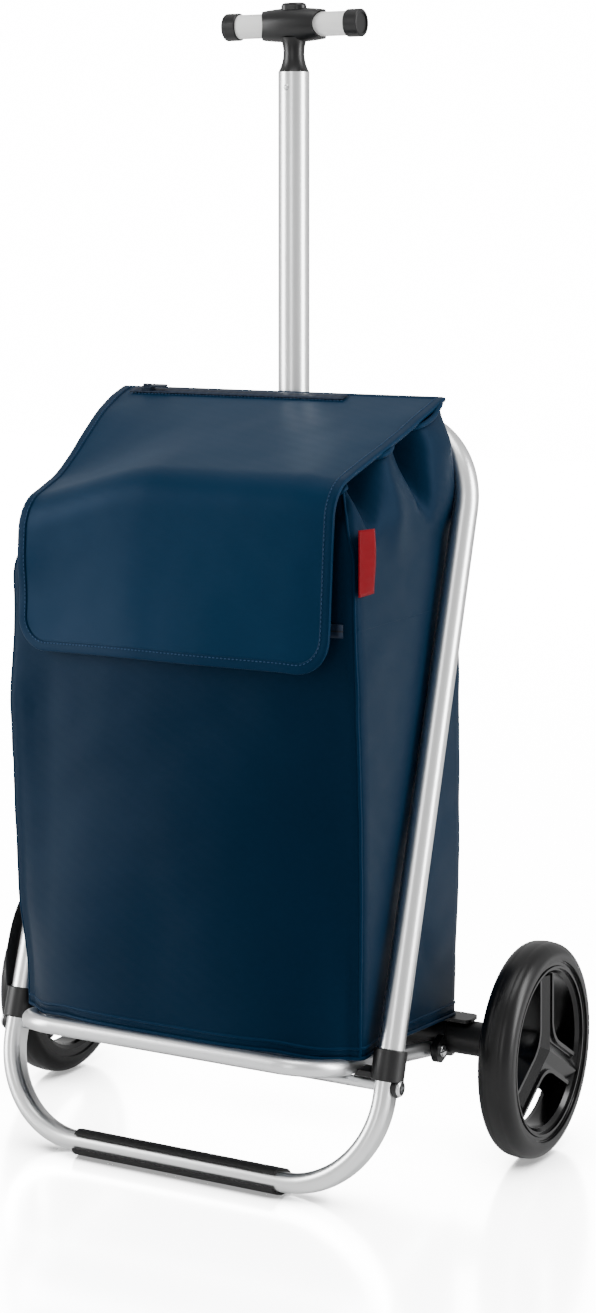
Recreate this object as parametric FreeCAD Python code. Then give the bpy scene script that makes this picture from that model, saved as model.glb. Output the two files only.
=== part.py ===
import FreeCAD, Part
import math
import os

# Two-wheeled shopping trolley: telescoping T-handle, slanting front frame that folds back, hinged
# platform ring, bag with a flap. Millimetres, +Z up, the front faces -Y, +X is right seen from the
# front. The origin is the middle of the footprint, on the ground.

V = FreeCAD.Vector

# ---- overall sizes ----
OVERALL_HEIGHT = 990.0
WHEEL_R = 90.0
TYRE_WIDTH = 32.0
RING_REACH = 226.0          # from the mast axis forward to the centreline of the ring's front bar
AXLE_SETBACK = -9.0         # the axle lies this far in front of (-) the mast axis
HEAD_Z = 621.0              # folding axis of the front frame, on the mast axis
FRAME_HALF_WIDTH = 181.0
FRAME_TILT = 18.0           # degrees from vertical

# ---- clearances ----
RUN = 0.05                  # radial running fit
SOFT_GAP = 0.3              # fabric and loosely resting pieces
FLAP_GAP = 0.6

# ---- mast ----
OUTER_TUBE_R = 16.0
OUTER_TUBE_WALL = 1.5
INNER_TUBE_WALL = 1.2
TUBE_PLAY = 0.5             # radial, between inner and outer tube
COLLAR_WALL = 1.0
COLLAR_HEIGHT = 12.0
COLLAR_LIP = 3.0
COLLAR_ABOVE_HEAD = 18.0
NECK_TO_TOP = 62.0          # from the neck's lower edge to the very top
INNER_TUBE_INSIDE = 111.0   # length left inside the outer tube when the mast is pulled out
GLIDE_LENGTH = 34.0
GLIDE_SPIGOT = 14.0
SHOE_WIDTH = 8.0
SHOE_HEIGHT = 14.0
SHOE_DEPTH = 8.5
SHOE_TRAVEL = 1.5

# ---- handle ----
GRIP_AXIS_BELOW_TOP = 20.0
GRIP_HALF_LENGTH = 69.0
GRIP_BODY_R = 15.5
GRIP_BODY_END_R = 12.7
GRIP_BODY_HALF = 34.5
GRIP_NOTCH_X = 24.8
GRIP_NOTCH_R = 18.0
GRIP_TUBE_R = 11.0
GRIP_TUBE_BORE = 9.6
GRIP_TUBE_START = 14.0
GRIP_CAP_R = 12.5
GRIP_CAP_LENGTH = 14.0
GRIP_CAP_END = 3.0
NECK_WAIST_R = 9.5
NECK_TOP_R = 12.2
NECK_WAIST_UP = 16.5
NECK_SPIGOT = 28.0
BUTTON_LENGTH = 24.0
BUTTON_WIDTH = 15.0
BUTTON_HEIGHT = 9.0
BUTTON_TRAVEL = 3.5
BUTTON_ROUND = 3.6
ROD_R = 2.0
RIVET_BELOW_NECK = 14.0

# ---- head bracket ----
HEAD_CHEEK = 10.0            # block material each side of the outer tube
HEAD_HALF_Z = 17.0
HEAD_BACK_WALL = 5.0
SIDE_TUBE_R = 11.0
SIDE_TUBE_WALL = 2.0
STUB_LENGTH = 34.0
SIDE_BEND_R = 75.0

# ---- clamps, foot loop, pad, cross bar ----
CLAMP_ABOVE_ARM = 5.0           # clamp's height over the ring's arm where they meet
CLAMP_WALL = 2.8
CLAMP_HEIGHT = 25.4
CLAMP_BELOW_AXIS = 13.4      # from the clamp's middle down to its lower edge
LOOP_HALF_THICK = 8.0
LOOP_HALF_DEPTH = 12.0
LOOP_WALL = 1.6
LOOP_BEND_R = 80.0
PAD_WALL = 2.6
PAD_FLAT_DEPTH = 1.0        # cut off the pad's underside where it stands
PAD_ON_BEND = 3.0           # how far the pad runs onto the loop's bends
PAD_WINDOW = 11.0
PAD_END_CUT = 10.0          # the lower lip's ends run back by this much
CROSS_BAR_R = 4.5
LOOP_SCREW_HEAD_R = 6.5
LOOP_SCREW_HEAD_T = 3.0
LOOP_SCREW_R = 3.0
CLAMP_LUG_R = 7.6
CLAMP_LUG_T = 3.5
LOOP_SCREW_DROP = 3.7         # below the clamp's lower edge

# ---- platform ring ----
RING_R = 7.0
RING_WALL = 1.4
RING_INSIDE_FRAME = 32.0    # ring's centreline in from the side tubes'
RING_BEND_R = 40.0
RING_RISE = 34.0            # front bar above the pivot
PIVOT_FROM_MAST = 30.5
PIVOT_BELOW_AXLE = 8.0
PIVOT_R = 3.0
EAR_T = 6.0
EAR_R = 10.0
EAR_GAP = 0.5
PIVOT_HEAD_R = 5.0
PIVOT_HEAD_T = 2.6

# ---- axle group ----
HOUSING_R = 14.5
HOUSING_WALL = 2.0
HOUSING_PAST_FRAME = 35.0
AXLE_R = 4.0
WHEEL_FROM_HOUSING = 8.5
AXLE_PAST_TYRE_START = 19.5
BUSH_FLANGE = 3.0
BUSH_DEPTH = 14.0
LEDGE_PAST_FRAME = 2.0
LEDGE_T = 3.0
LEDGE_ABOVE_HOUSING = 3.5
LEDGE_BEHIND_AXLE = 11.0
LEDGE_UNDER_BAG = 2.5
FOOT_CHEEK = 8.0
FOOT_SOCKET_HEIGHT = 39.5
FOOT_SOCKET_WALL = 4.0

# ---- wheels ----
TYRE_THICK = 14.8
RIM_FLANGE = 6.9
RIM_WELL_DEPTH = 4.3
RIM_WIDTH = 29.0
ARM_FLOOR_T = 2.4
ARM_FLOOR_DEPTH = 5.6       # from the wheel's outer face
ARM_BEAD_DEPTH = 3.4
ARM_RIDGE_DEPTH = 0.8
ARM_WALL_T = 3.0
ARM_WALL_DEPTH = 23.0
WINDOW_LIP = 9.0            # the walls' inward lip on the wheel's inner side
WINDOW_LIP_T = 2.0
ARM_HALF_WIDTH = 14.0
RIDGE_HALF_WIDTH = 9.0
WINDOW_CORNER_R = 26.0
HUB_R = 12.0
TREAD_ROUND = 11.0
WASHER_R = 8.0
WASHER_T = 2.0
WASHER_PLAY = 0.3

# ---- bag ----
BAG_FROM_COLLAR = 0.5
BAG_WALL = 3.0
BAG_FROM_SIDE_TUBE = 0.8
BAG_CORNER_R = 10.0
BAG_BACK_CORNER_R = 8.0
BAG_REAR_FROM_MAST = 2.0     # the rear bulges back to here on both sides of the mast
MAST_CHANNEL_GAP = 1.5       # beside the head bracket
BAG_ABOVE_RING = 0.5
HINGE_ABOVE_COLLAR = 3.0
KNEE_BELOW_HINGE = 60.0
KNEE_BEHIND_RING = 15.0
HEM_BELOW_HINGE = 211.0
HEM_BEFORE_RING = 1.0
FLAP_KNEE_R = 38.0
FLAP_T = 4.0
FLAP_IN_FROM_BAG = 5.2
FLAP_TAPER = 10.0            # how much narrower each side is from the knee down
FLAP_CORNER_R = 32.0
ZIP_T = 1.2
ZIP_WIDTH = 11.0
TOP_ZIP_FROM_EDGE = 16.0
TOP_ZIP_LENGTH = 220.0
POCKET_ABOVE_HEM = 35.0
POCKET_FROM_SIDE = 12.0
SLIDER_LENGTH = 12.0
SLIDER_WIDTH = 8.0
SLIDER_T = 3.0
POCKET_SLIDER_T = 2.4
POCKET_SLIDER_FROM_END = 26.0
POCKET_PULL = 18.0
TAG_ABOVE_POCKET = 28.0
TAG_HEIGHT = 54.0
TAG_WIDTH = 24.0
TAG_T = 1.0
STRAP_T = 1.6
STRAP_WIDTH = 16.0
STRAP_LENGTH = 80.0
STRAP_BOW = 8.0

# ---- places that follow from the sizes ----
FRONT_REACH = RING_REACH + RING_R
BACK_REACH = WHEEL_R + AXLE_SETBACK
MAST_Y = (FRONT_REACH - BACK_REACH) / 2
AXLE_Y = MAST_Y + AXLE_SETBACK
AXLE_Z = WHEEL_R
OUTER_TUBE_BORE = OUTER_TUBE_R - OUTER_TUBE_WALL
INNER_TUBE_R = OUTER_TUBE_BORE - TUBE_PLAY
INNER_TUBE_BORE = INNER_TUBE_R - INNER_TUBE_WALL
COLLAR_R = OUTER_TUBE_R + COLLAR_WALL
HEAD_HALF_X = OUTER_TUBE_R + HEAD_CHEEK
HEAD_BACK = OUTER_TUBE_R + HEAD_BACK_WALL
SIDE_TUBE_BORE = SIDE_TUBE_R - SIDE_TUBE_WALL
CLAMP_R = SIDE_TUBE_R + CLAMP_WALL
PAD_HALF_LENGTH = FRAME_HALF_WIDTH - LOOP_BEND_R + PAD_ON_BEND
HOUSING_BORE = HOUSING_R - HOUSING_WALL
HOUSING_HALF = FRAME_HALF_WIDTH + HOUSING_PAST_FRAME
WHEEL_INNER_X = HOUSING_HALF + WHEEL_FROM_HOUSING
AXLE_HALF = WHEEL_INNER_X + AXLE_PAST_TYRE_START
RIM_R = WHEEL_R - TYRE_THICK
RIM_LIP_R = RIM_R - RIM_FLANGE
RIM_WELL_R = RIM_LIP_R - RIM_WELL_DEPTH
NECK_Z = OVERALL_HEIGHT - NECK_TO_TOP
GRIP_Z = OVERALL_HEIGHT - GRIP_AXIS_BELOW_TOP
COLLAR_TOP_Z = HEAD_Z + COLLAR_ABOVE_HEAD
OUTER_TUBE_TOP_Z = COLLAR_TOP_Z - COLLAR_LIP
INNER_TUBE_FOOT_Z = COLLAR_TOP_Z - INNER_TUBE_INSIDE
TILT = math.radians(FRAME_TILT)
LOOP_FLAT = LOOP_HALF_DEPTH - LOOP_HALF_THICK
LOOP_LOW = LOOP_FLAT * math.sin(TILT) + LOOP_HALF_THICK
LOOP_BOTTOM_Z = LOOP_LOW + PAD_WALL - PAD_FLAT_DEPTH
LOOP_DROP = (HEAD_Z - LOOP_BOTTOM_Z) / math.cos(TILT)
RING_Y = MAST_Y - RING_REACH
RING_BORE = RING_R - RING_WALL
RING_HALF_WIDTH = FRAME_HALF_WIDTH - RING_INSIDE_FRAME
PIVOT_Y = MAST_Y - PIVOT_FROM_MAST
PIVOT_Z = AXLE_Z - PIVOT_BELOW_AXLE
RING_FRONT_Z = PIVOT_Z + RING_RISE
RING_SLOPE = RING_RISE / (PIVOT_Y - RING_Y)
CLAMP_RUN = RING_REACH - HEAD_Z * math.tan(TILT)
CLAMP_Z = (RING_FRONT_Z + CLAMP_ABOVE_ARM - RING_SLOPE * CLAMP_RUN) / (1 + RING_SLOPE * math.tan(TILT))
CLAMP_DROP = (HEAD_Z - CLAMP_Z) / math.cos(TILT)
CLAMP_FOOT = -CLAMP_DROP - CLAMP_BELOW_AXIS
LOOP_SCREW_Z = CLAMP_FOOT - LOOP_SCREW_DROP
BAG_BACK_FROM_MAST = COLLAR_R + BAG_FROM_COLLAR
BAG_BACK_Y = MAST_Y - BAG_BACK_FROM_MAST
FOOT_TUBE_Z = AXLE_Z + HOUSING_R + 4.0
FOOT_HALF_X = OUTER_TUBE_R + FOOT_CHEEK
FOOT_SOCKET_R = OUTER_TUBE_R + FOOT_SOCKET_WALL
FOOT_SOCKET_TOP_Z = FOOT_TUBE_Z + FOOT_SOCKET_HEIGHT
LEDGE_HALF_X = FRAME_HALF_WIDTH + LEDGE_PAST_FRAME
LEDGE_TOP_Z = AXLE_Z + HOUSING_R + LEDGE_ABOVE_HOUSING
BAG_HALF_WIDTH = FRAME_HALF_WIDTH - SIDE_TUBE_R - BAG_FROM_SIDE_TUBE
BAG_FRONT_Z = RING_FRONT_Z + RING_R + BAG_ABOVE_RING
BAG_BACK_Z = LEDGE_TOP_Z + SOFT_GAP
FLAP_HINGE_Z = COLLAR_TOP_Z + HINGE_ABOVE_COLLAR
FLAP_KNEE_FROM_MAST = RING_REACH - KNEE_BEHIND_RING
FLAP_KNEE_Z = FLAP_HINGE_Z - KNEE_BELOW_HINGE
FLAP_HEM_FROM_MAST = RING_REACH + HEM_BEFORE_RING
FLAP_HEM_Z = FLAP_HINGE_Z - HEM_BELOW_HINGE
FLAP_HALF_WIDTH = BAG_HALF_WIDTH - FLAP_IN_FROM_BAG
TOP_ZIP_FROM_X = TOP_ZIP_FROM_EDGE - FLAP_HALF_WIDTH
TOP_ZIP_TO_X = TOP_ZIP_FROM_X + TOP_ZIP_LENGTH
POCKET_ZIP_Z = FLAP_HEM_Z + POCKET_ABOVE_HEM
POCKET_ZIP_HALF = BAG_HALF_WIDTH - POCKET_FROM_SIDE
POCKET_SLIDER_X = POCKET_ZIP_HALF - POCKET_SLIDER_FROM_END
TAG_BOTTOM_Z = POCKET_ZIP_Z + TAG_ABOVE_POCKET
MIRROR = {"left": -1, "right": 1}


# ---- helpers ----
def rod(radius, length, base, direction):
    return Part.makeCylinder(radius, length, base, direction)


def along_x(radius, x0, x1, y, z):
    return rod(radius, x1 - x0, V(x0, y, z), V(1, 0, 0))


def upright(radius, z0, z1, x=0.0, y=0.0):
    return rod(radius, z1 - z0, V(x, y, z0), V(0, 0, 1))


def box(x0, x1, y0, y1, z0, z1):
    return Part.makeBox(x1 - x0, y1 - y0, z1 - z0, V(x0, y0, z0))


def joined(shapes):
    result = shapes[0]
    for shape in shapes[1:]:
        result = result.fuse(shape)
    return result.removeSplitter()


def polygon(points):
    return Part.Face(Part.makePolygon(points + [points[0]]))


def line(a, b):
    return Part.LineSegment(a, b).toShape()


def arc(a, b, c):
    return Part.Arc(a, b, c).toShape()


def rounded_edges(points, radius):
    """Straight runs joined by tangent arcs of one radius."""
    edges = []
    start = points[0]
    for before, corner, after in zip(points, points[1:], points[2:]):
        back = (before - corner).normalize()
        ahead = (after - corner).normalize()
        half = back.getAngle(ahead) / 2
        inward = (back + ahead).normalize()
        enter = corner + back * (radius / math.tan(half))
        leave = corner + ahead * (radius / math.tan(half))
        middle = corner + inward * (radius / math.sin(half) - radius)
        edges.append(line(start, enter))
        edges.append(arc(enter, middle, leave))
        start = leave
    edges.append(line(start, points[-1]))
    return edges


def swept(profile, points, radius):
    path = Part.Wire(rounded_edges(points, radius))
    return path.makePipeShell([profile], True, False)


def ring_profile(radius, centre, normal):
    return Part.Wire(Part.makeCircle(radius, centre, normal))


def oval_profile(half_x, half_y, centre):
    """Upright oval section with straight sides along Y and round ends."""
    flat = half_y - half_x
    a = centre + V(half_x, -flat, 0)
    b = centre + V(half_x, flat, 0)
    c = centre + V(-half_x, flat, 0)
    d = centre + V(-half_x, -flat, 0)
    far = arc(b, centre + V(0, half_y, 0), c)
    near = arc(d, centre + V(0, -half_y, 0), a)
    return Part.Wire([line(a, b), far, line(c, d), near])


def oval_bar(half_x, half_y, z0, z1, x, y):
    face = Part.Face(oval_profile(half_x, half_y, V(x, y, z0)))
    return face.extrude(V(0, 0, z1 - z0))


def leaned(shape):
    """From the front frame's own upright plane to its slanting place under the head axis."""
    shape.rotate(V(0, 0, 0), V(1, 0, 0), -FRAME_TILT)
    shape.translate(V(0, MAST_Y, HEAD_Z))
    return shape


def mirrored(shape, side):
    if side == "right":
        return shape
    return shape.mirror(V(0, 0, 0), V(1, 0, 0))


def softened(shape, radius, chosen):
    edges = [edge for edge in shape.Edges if chosen(edge)]
    if not edges:
        return shape
    return shape.makeFillet(radius, edges)


def save(name, shape):
    solid = shape.Solids[0] if len(shape.Solids) == 1 else shape
    print(name, len(shape.Solids), shape.isValid(), round(shape.Volume / 1000, 2), "cm3")
    solid.exportStep("parts/" + name + ".step")


# ---- mast: outer tube, collar, inner tube, glide plug, brake shoe ----
def outer_tube():
    outside = upright(OUTER_TUBE_R, FOOT_TUBE_Z, OUTER_TUBE_TOP_Z, 0, MAST_Y)
    return outside.cut(upright(OUTER_TUBE_BORE, FOOT_TUBE_Z, OUTER_TUBE_TOP_Z, 0, MAST_Y))


def tube_collar():
    foot = COLLAR_TOP_Z - COLLAR_HEIGHT
    body = upright(COLLAR_R, foot, COLLAR_TOP_Z, 0, MAST_Y)
    top = COLLAR_TOP_Z - 0.1
    body = softened(body, 0.9, lambda edge: edge.BoundBox.ZMin > top)
    body = body.cut(upright(OUTER_TUBE_R, foot, OUTER_TUBE_TOP_Z, 0, MAST_Y))
    return body.cut(upright(INNER_TUBE_R + RUN, foot, COLLAR_TOP_Z, 0, MAST_Y))


def rivet_hole():
    z = NECK_Z - RIVET_BELOW_NECK
    return rod(2.1, INNER_TUBE_R + 2, V(0, MAST_Y - INNER_TUBE_R - 2, z), V(0, 1, 0))


def inner_tube():
    tube = upright(INNER_TUBE_R, INNER_TUBE_FOOT_Z, NECK_Z, 0, MAST_Y)
    tube = tube.cut(upright(INNER_TUBE_BORE, INNER_TUBE_FOOT_Z, NECK_Z, 0, MAST_Y))
    return tube.cut(rivet_hole())


def shoe_shape(clearance, depth_clearance):
    half = SHOE_WIDTH / 2 + clearance
    middle = INNER_TUBE_FOOT_Z - GLIDE_LENGTH / 2
    z0 = middle - SHOE_HEIGHT / 2 - clearance
    z1 = middle + SHOE_HEIGHT / 2 + clearance
    outer = OUTER_TUBE_BORE - RUN
    inner = outer - SHOE_DEPTH - depth_clearance
    block = box(-half, half, MAST_Y + inner, MAST_Y + outer + 1, z0, z1)
    return block.common(upright(outer, z0, z1, 0, MAST_Y))


def glide_plug():
    foot = INNER_TUBE_FOOT_Z - GLIDE_LENGTH
    body = upright(OUTER_TUBE_BORE - RUN, foot, INNER_TUBE_FOOT_Z, 0, MAST_Y)
    spigot = upright(INNER_TUBE_BORE - RUN, INNER_TUBE_FOOT_Z, INNER_TUBE_FOOT_Z + GLIDE_SPIGOT,
                     0, MAST_Y)
    guide = upright(ROD_R + 0.1, INNER_TUBE_FOOT_Z, INNER_TUBE_FOOT_Z + GLIDE_SPIGOT, 0, MAST_Y)
    return joined([body, spigot]).cut(guide).cut(shoe_shape(RUN, SHOE_TRAVEL + 0.5))


def brake_shoe():
    return shoe_shape(0, 0)


# ---- handle ----
def grip_body():
    a = V(-GRIP_BODY_HALF, 0, GRIP_BODY_END_R)
    b = V(0, 0, GRIP_BODY_R)
    c = V(GRIP_BODY_HALF, 0, GRIP_BODY_END_R)
    foot_a = V(-GRIP_BODY_HALF, 0, 0)
    foot_c = V(GRIP_BODY_HALF, 0, 0)
    section = Part.Face(Part.Wire([arc(a, b, c), line(c, foot_c), line(foot_c, foot_a), line(foot_a, a)]))
    barrel = section.revolve(V(0, 0, 0), V(1, 0, 0), 360)
    for side in MIRROR.values():
        notch_x = side * (GRIP_NOTCH_X + GRIP_NOTCH_R)
        barrel = barrel.cut(rod(GRIP_NOTCH_R, 60, V(notch_x, -30, 0), V(0, 1, 0)))
    barrel.translate(V(0, MAST_Y, GRIP_Z))
    return barrel


def grip_neck():
    top = GRIP_Z - GRIP_BODY_R + 4.0
    a = V(INNER_TUBE_R, 0, NECK_Z)
    b = V(NECK_WAIST_R, 0, NECK_Z + NECK_WAIST_UP)
    c = V(NECK_TOP_R, 0, top)
    foot = V(0, 0, NECK_Z)
    head = V(0, 0, top)
    section = Part.Face(Part.Wire([arc(a, b, c), line(c, head), line(head, foot), line(foot, a)]))
    neck = section.revolve(V(0, 0, 0), V(0, 0, 1), 360)
    neck.translate(V(0, MAST_Y, 0))
    return neck


def handle_body():
    spigot = upright(INNER_TUBE_BORE - RUN, NECK_Z - NECK_SPIGOT, NECK_Z, 0, MAST_Y)
    body = joined([grip_body(), grip_neck(), spigot])
    for side in MIRROR.values():
        x0, x1 = sorted([side * GRIP_TUBE_START, side * (GRIP_BODY_HALF + 5)])
        body = body.cut(along_x(GRIP_TUBE_R + RUN, x0, x1, MAST_Y, GRIP_Z))
    floor = OVERALL_HEIGHT - BUTTON_HEIGHT - BUTTON_TRAVEL - 0.5
    pocket = button_bar(0.15, floor, OVERALL_HEIGHT)
    channel = upright(ROD_R + 0.1, NECK_Z - NECK_SPIGOT, OVERALL_HEIGHT, 0, MAST_Y)
    return body.cut(pocket).cut(channel).cut(rivet_hole())


def button_bar(clearance, z0, z1):
    half_y = BUTTON_WIDTH / 2
    reach = BUTTON_LENGTH / 2 - half_y
    parts = [box(-reach, reach, MAST_Y - half_y - clearance, MAST_Y + half_y + clearance, z0, z1)]
    for side in MIRROR.values():
        parts.append(upright(half_y + clearance, z0, z1, side * reach, MAST_Y))
    return joined(parts)


def push_button():
    button = button_bar(0, OVERALL_HEIGHT - BUTTON_HEIGHT, OVERALL_HEIGHT)
    top = OVERALL_HEIGHT - 0.1
    return softened(button, BUTTON_ROUND, lambda edge: edge.BoundBox.ZMin > top)


def push_rod():
    foot = INNER_TUBE_FOOT_Z + BUTTON_TRAVEL + 1.0
    return upright(ROD_R, foot, OVERALL_HEIGHT - BUTTON_HEIGHT, 0, MAST_Y)


def handle_tube(side):
    end = GRIP_HALF_LENGTH - GRIP_CAP_END
    tube = along_x(GRIP_TUBE_R, GRIP_TUBE_START, end, MAST_Y, GRIP_Z)
    tube = tube.cut(along_x(GRIP_TUBE_BORE, GRIP_TUBE_START, end, MAST_Y, GRIP_Z))
    return mirrored(tube, side)


def handle_cap(side):
    start = GRIP_HALF_LENGTH - GRIP_CAP_LENGTH
    cap = along_x(GRIP_CAP_R, start, GRIP_HALF_LENGTH, MAST_Y, GRIP_Z)
    cap = cap.makeFillet(1.2, cap.Edges)
    dish = along_x(GRIP_CAP_R - 3.0, GRIP_HALF_LENGTH - 1.0, GRIP_HALF_LENGTH + 1, MAST_Y, GRIP_Z)
    sleeve = along_x(GRIP_TUBE_R + RUN, start, GRIP_HALF_LENGTH - GRIP_CAP_END, MAST_Y, GRIP_Z)
    plug = along_x(GRIP_TUBE_BORE - RUN, start, GRIP_HALF_LENGTH - GRIP_CAP_END, MAST_Y, GRIP_Z)
    return mirrored(cap.cut(dish).cut(sleeve.cut(plug)), side)


def handle_rivet():
    z = NECK_Z - RIVET_BELOW_NECK
    face = MAST_Y - INNER_TUBE_R
    head = Part.makeSphere(3.4, V(0, face + 2.2, z)).common(box(-4, 4, face - 4, face, z - 4, z + 4))
    shank = rod(2.0, 6.0, V(0, face, z), V(0, 1, 0))
    seat = rod(2.5, 0.6, V(0, face - 0.2, z), V(0, 1, 0))
    return joined([head, shank, seat.common(box(-4, 4, face - 1, face, z - 4, z + 4))])


# ---- head bracket with the stub journals of the front frame ----
def head_bracket():
    y0 = BAG_BACK_Y + SOFT_GAP
    block = box(-HEAD_HALF_X, HEAD_HALF_X, y0, MAST_Y + HEAD_BACK,
                HEAD_Z - HEAD_HALF_Z, COLLAR_TOP_Z - COLLAR_HEIGHT)
    block = softened(block, 5.0, lambda edge: abs(edge.tangentAt(edge.FirstParameter).z) > 0.99)
    stubs = along_x(SIDE_TUBE_BORE - RUN, -HEAD_HALF_X - STUB_LENGTH, HEAD_HALF_X + STUB_LENGTH,
                    MAST_Y, HEAD_Z)
    body = joined([block, stubs])
    body = body.cut(upright(COLLAR_R, COLLAR_TOP_Z - COLLAR_HEIGHT, COLLAR_TOP_Z, 0, MAST_Y))
    return body.cut(upright(OUTER_TUBE_R, HEAD_Z - 40, HEAD_Z + 40, 0, MAST_Y))


# ---- front frame, drawn upright with the head axis at z = 0, then leaned ----
def side_tube(side):
    start = V(FRAME_HALF_WIDTH, 0, -CLAMP_DROP)
    corner = V(FRAME_HALF_WIDTH, 0, 0)
    end = V(HEAD_HALF_X + 0.5, 0, 0)
    path = [start, corner, end]
    outside = swept(ring_profile(SIDE_TUBE_R, start, V(0, 0, 1)), path, SIDE_BEND_R)
    inside = swept(ring_profile(SIDE_TUBE_BORE, start, V(0, 0, 1)), path, SIDE_BEND_R)
    return mirrored(leaned(outside.cut(inside)), side)


def foot_loop():
    w = FRAME_HALF_WIDTH
    path = [V(-w, 0, -CLAMP_DROP), V(-w, 0, -LOOP_DROP), V(w, 0, -LOOP_DROP), V(w, 0, -CLAMP_DROP)]
    outer = oval_profile(LOOP_HALF_THICK, LOOP_HALF_DEPTH, path[0])
    inner = oval_profile(LOOP_HALF_THICK - LOOP_WALL, LOOP_HALF_DEPTH - LOOP_WALL, path[0])
    loop = swept(outer, path, LOOP_BEND_R).cut(swept(inner, path, LOOP_BEND_R))
    loop = loop.cut(along_x(LOOP_SCREW_R + RUN, -w - 20, w + 20, 0, LOOP_SCREW_Z))
    return leaned(loop)


def saddle(ring_arm):
    """Cheek on the clamp's inner side that the ring's arm rests against, open at its top."""
    x0 = RING_HALF_WIDTH + 2.0
    x1 = FRAME_HALF_WIDTH - SIDE_TUBE_R - 1.0
    clamp_y = MAST_Y - CLAMP_DROP * math.sin(TILT)
    arm_z = RING_FRONT_Z - RING_SLOPE * (clamp_y - RING_Y)
    block = box(x0, x1, clamp_y - 8, clamp_y + 8, arm_z - 5.5, arm_z - 0.8)
    return block.cut(ring_arm)


def clamp(side):
    sleeve = upright(CLAMP_R, CLAMP_FOOT, CLAMP_FOOT + CLAMP_HEIGHT, FRAME_HALF_WIDTH, 0)
    sleeve = sleeve.makeFillet(1.2, sleeve.Edges)
    lug_face = FRAME_HALF_WIDTH + LOOP_HALF_THICK + CLAMP_LUG_T
    lug = along_x(CLAMP_LUG_R, FRAME_HALF_WIDTH, lug_face, 0, LOOP_SCREW_Z)
    body = joined([sleeve, lug])
    body = body.cut(upright(SIDE_TUBE_R, -CLAMP_DROP, CLAMP_FOOT + CLAMP_HEIGHT, FRAME_HALF_WIDTH, 0))
    body = body.cut(oval_bar(LOOP_HALF_THICK, LOOP_HALF_DEPTH, CLAMP_FOOT - 20, -CLAMP_DROP,
                             FRAME_HALF_WIDTH, 0))
    body = body.cut(along_x(LOOP_SCREW_HEAD_R + 0.4, lug_face, lug_face + 20, 0, LOOP_SCREW_Z))
    body = body.cut(along_x(LOOP_SCREW_R + RUN, FRAME_HALF_WIDTH - 30, lug_face + 1, 0, LOOP_SCREW_Z))
    body = body.cut(along_x(CROSS_BAR_R + RUN, FRAME_HALF_WIDTH - 30, FRAME_HALF_WIDTH - LOOP_HALF_THICK,
                            0, LOOP_SCREW_Z))
    body = leaned(body)
    bore = leaned(upright(SIDE_TUBE_R, -CLAMP_DROP - 20, 0, FRAME_HALF_WIDTH, 0))
    cheek = saddle(ring_arm_envelope()).cut(bore)
    return mirrored(joined([body, cheek]).cut(ring_solid(RING_R + SOFT_GAP, 0)), side)


def loop_screw(side):
    face = FRAME_HALF_WIDTH + LOOP_HALF_THICK + CLAMP_LUG_T
    inner = FRAME_HALF_WIDTH - LOOP_HALF_THICK - 8.0
    head = along_x(LOOP_SCREW_HEAD_R, face, face + LOOP_SCREW_HEAD_T, 0, LOOP_SCREW_Z)
    rim = face + LOOP_SCREW_HEAD_T - 0.1
    head = softened(head, 1.6, lambda edge: edge.BoundBox.XMin > rim)
    shank = along_x(LOOP_SCREW_R, inner, face, 0, LOOP_SCREW_Z)
    screw = joined([head, shank])
    for turn in (0, 90):
        slot = box(face + 1.6, face + 5, -3.4, 3.4, -0.7, 0.7)
        slot.rotate(V(0, 0, 0), V(1, 0, 0), turn + 20)
        slot.translate(V(0, 0, LOOP_SCREW_Z))
        screw = screw.cut(slot)
    return mirrored(leaned(screw), side)


def cross_bar():
    end = FRAME_HALF_WIDTH - LOOP_HALF_THICK
    bar = along_x(CROSS_BAR_R, -end, end, 0, LOOP_SCREW_Z)
    for side in MIRROR.values():
        x0, x1 = sorted([side * (end - 9.0), side * (end + 1)])
        bar = bar.cut(along_x(LOOP_SCREW_R, x0, x1, 0, LOOP_SCREW_Z))
    return leaned(bar)


def foot_pad():
    """C-shaped rubber clip round the bottom bar, open at the front, flat where it stands."""
    outer = oval_profile(LOOP_HALF_THICK + PAD_WALL, LOOP_HALF_DEPTH + PAD_WALL, V(0, 0, 0))
    inner = oval_profile(LOOP_HALF_THICK, LOOP_HALF_DEPTH, V(0, 0, 0))
    length = V(0, 0, 2 * PAD_HALF_LENGTH)
    clip = Part.Face(outer).extrude(length).cut(Part.Face(inner).extrude(length))
    window = box(-PAD_WINDOW / 2, PAD_WINDOW / 2, -40, 0, 0, 2 * PAD_HALF_LENGTH)
    clip = clip.cut(window)
    for end, direction in ((0.0, 1), (2 * PAD_HALF_LENGTH, -1)):
        a = V(-30, -40, end)
        b = V(-30, 40, end)
        c = V(-30, -40, end + direction * PAD_END_CUT)
        clip = clip.cut(polygon([a, b, c]).extrude(V(60, 0, 0)))
    clip.rotate(V(0, 0, 0), V(0, 1, 0), 90)
    clip.translate(V(-PAD_HALF_LENGTH, 0, -LOOP_DROP))
    clip = leaned(clip)
    return clip.common(box(-200, 200, MAST_Y - 400, MAST_Y, 0, 60))


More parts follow.
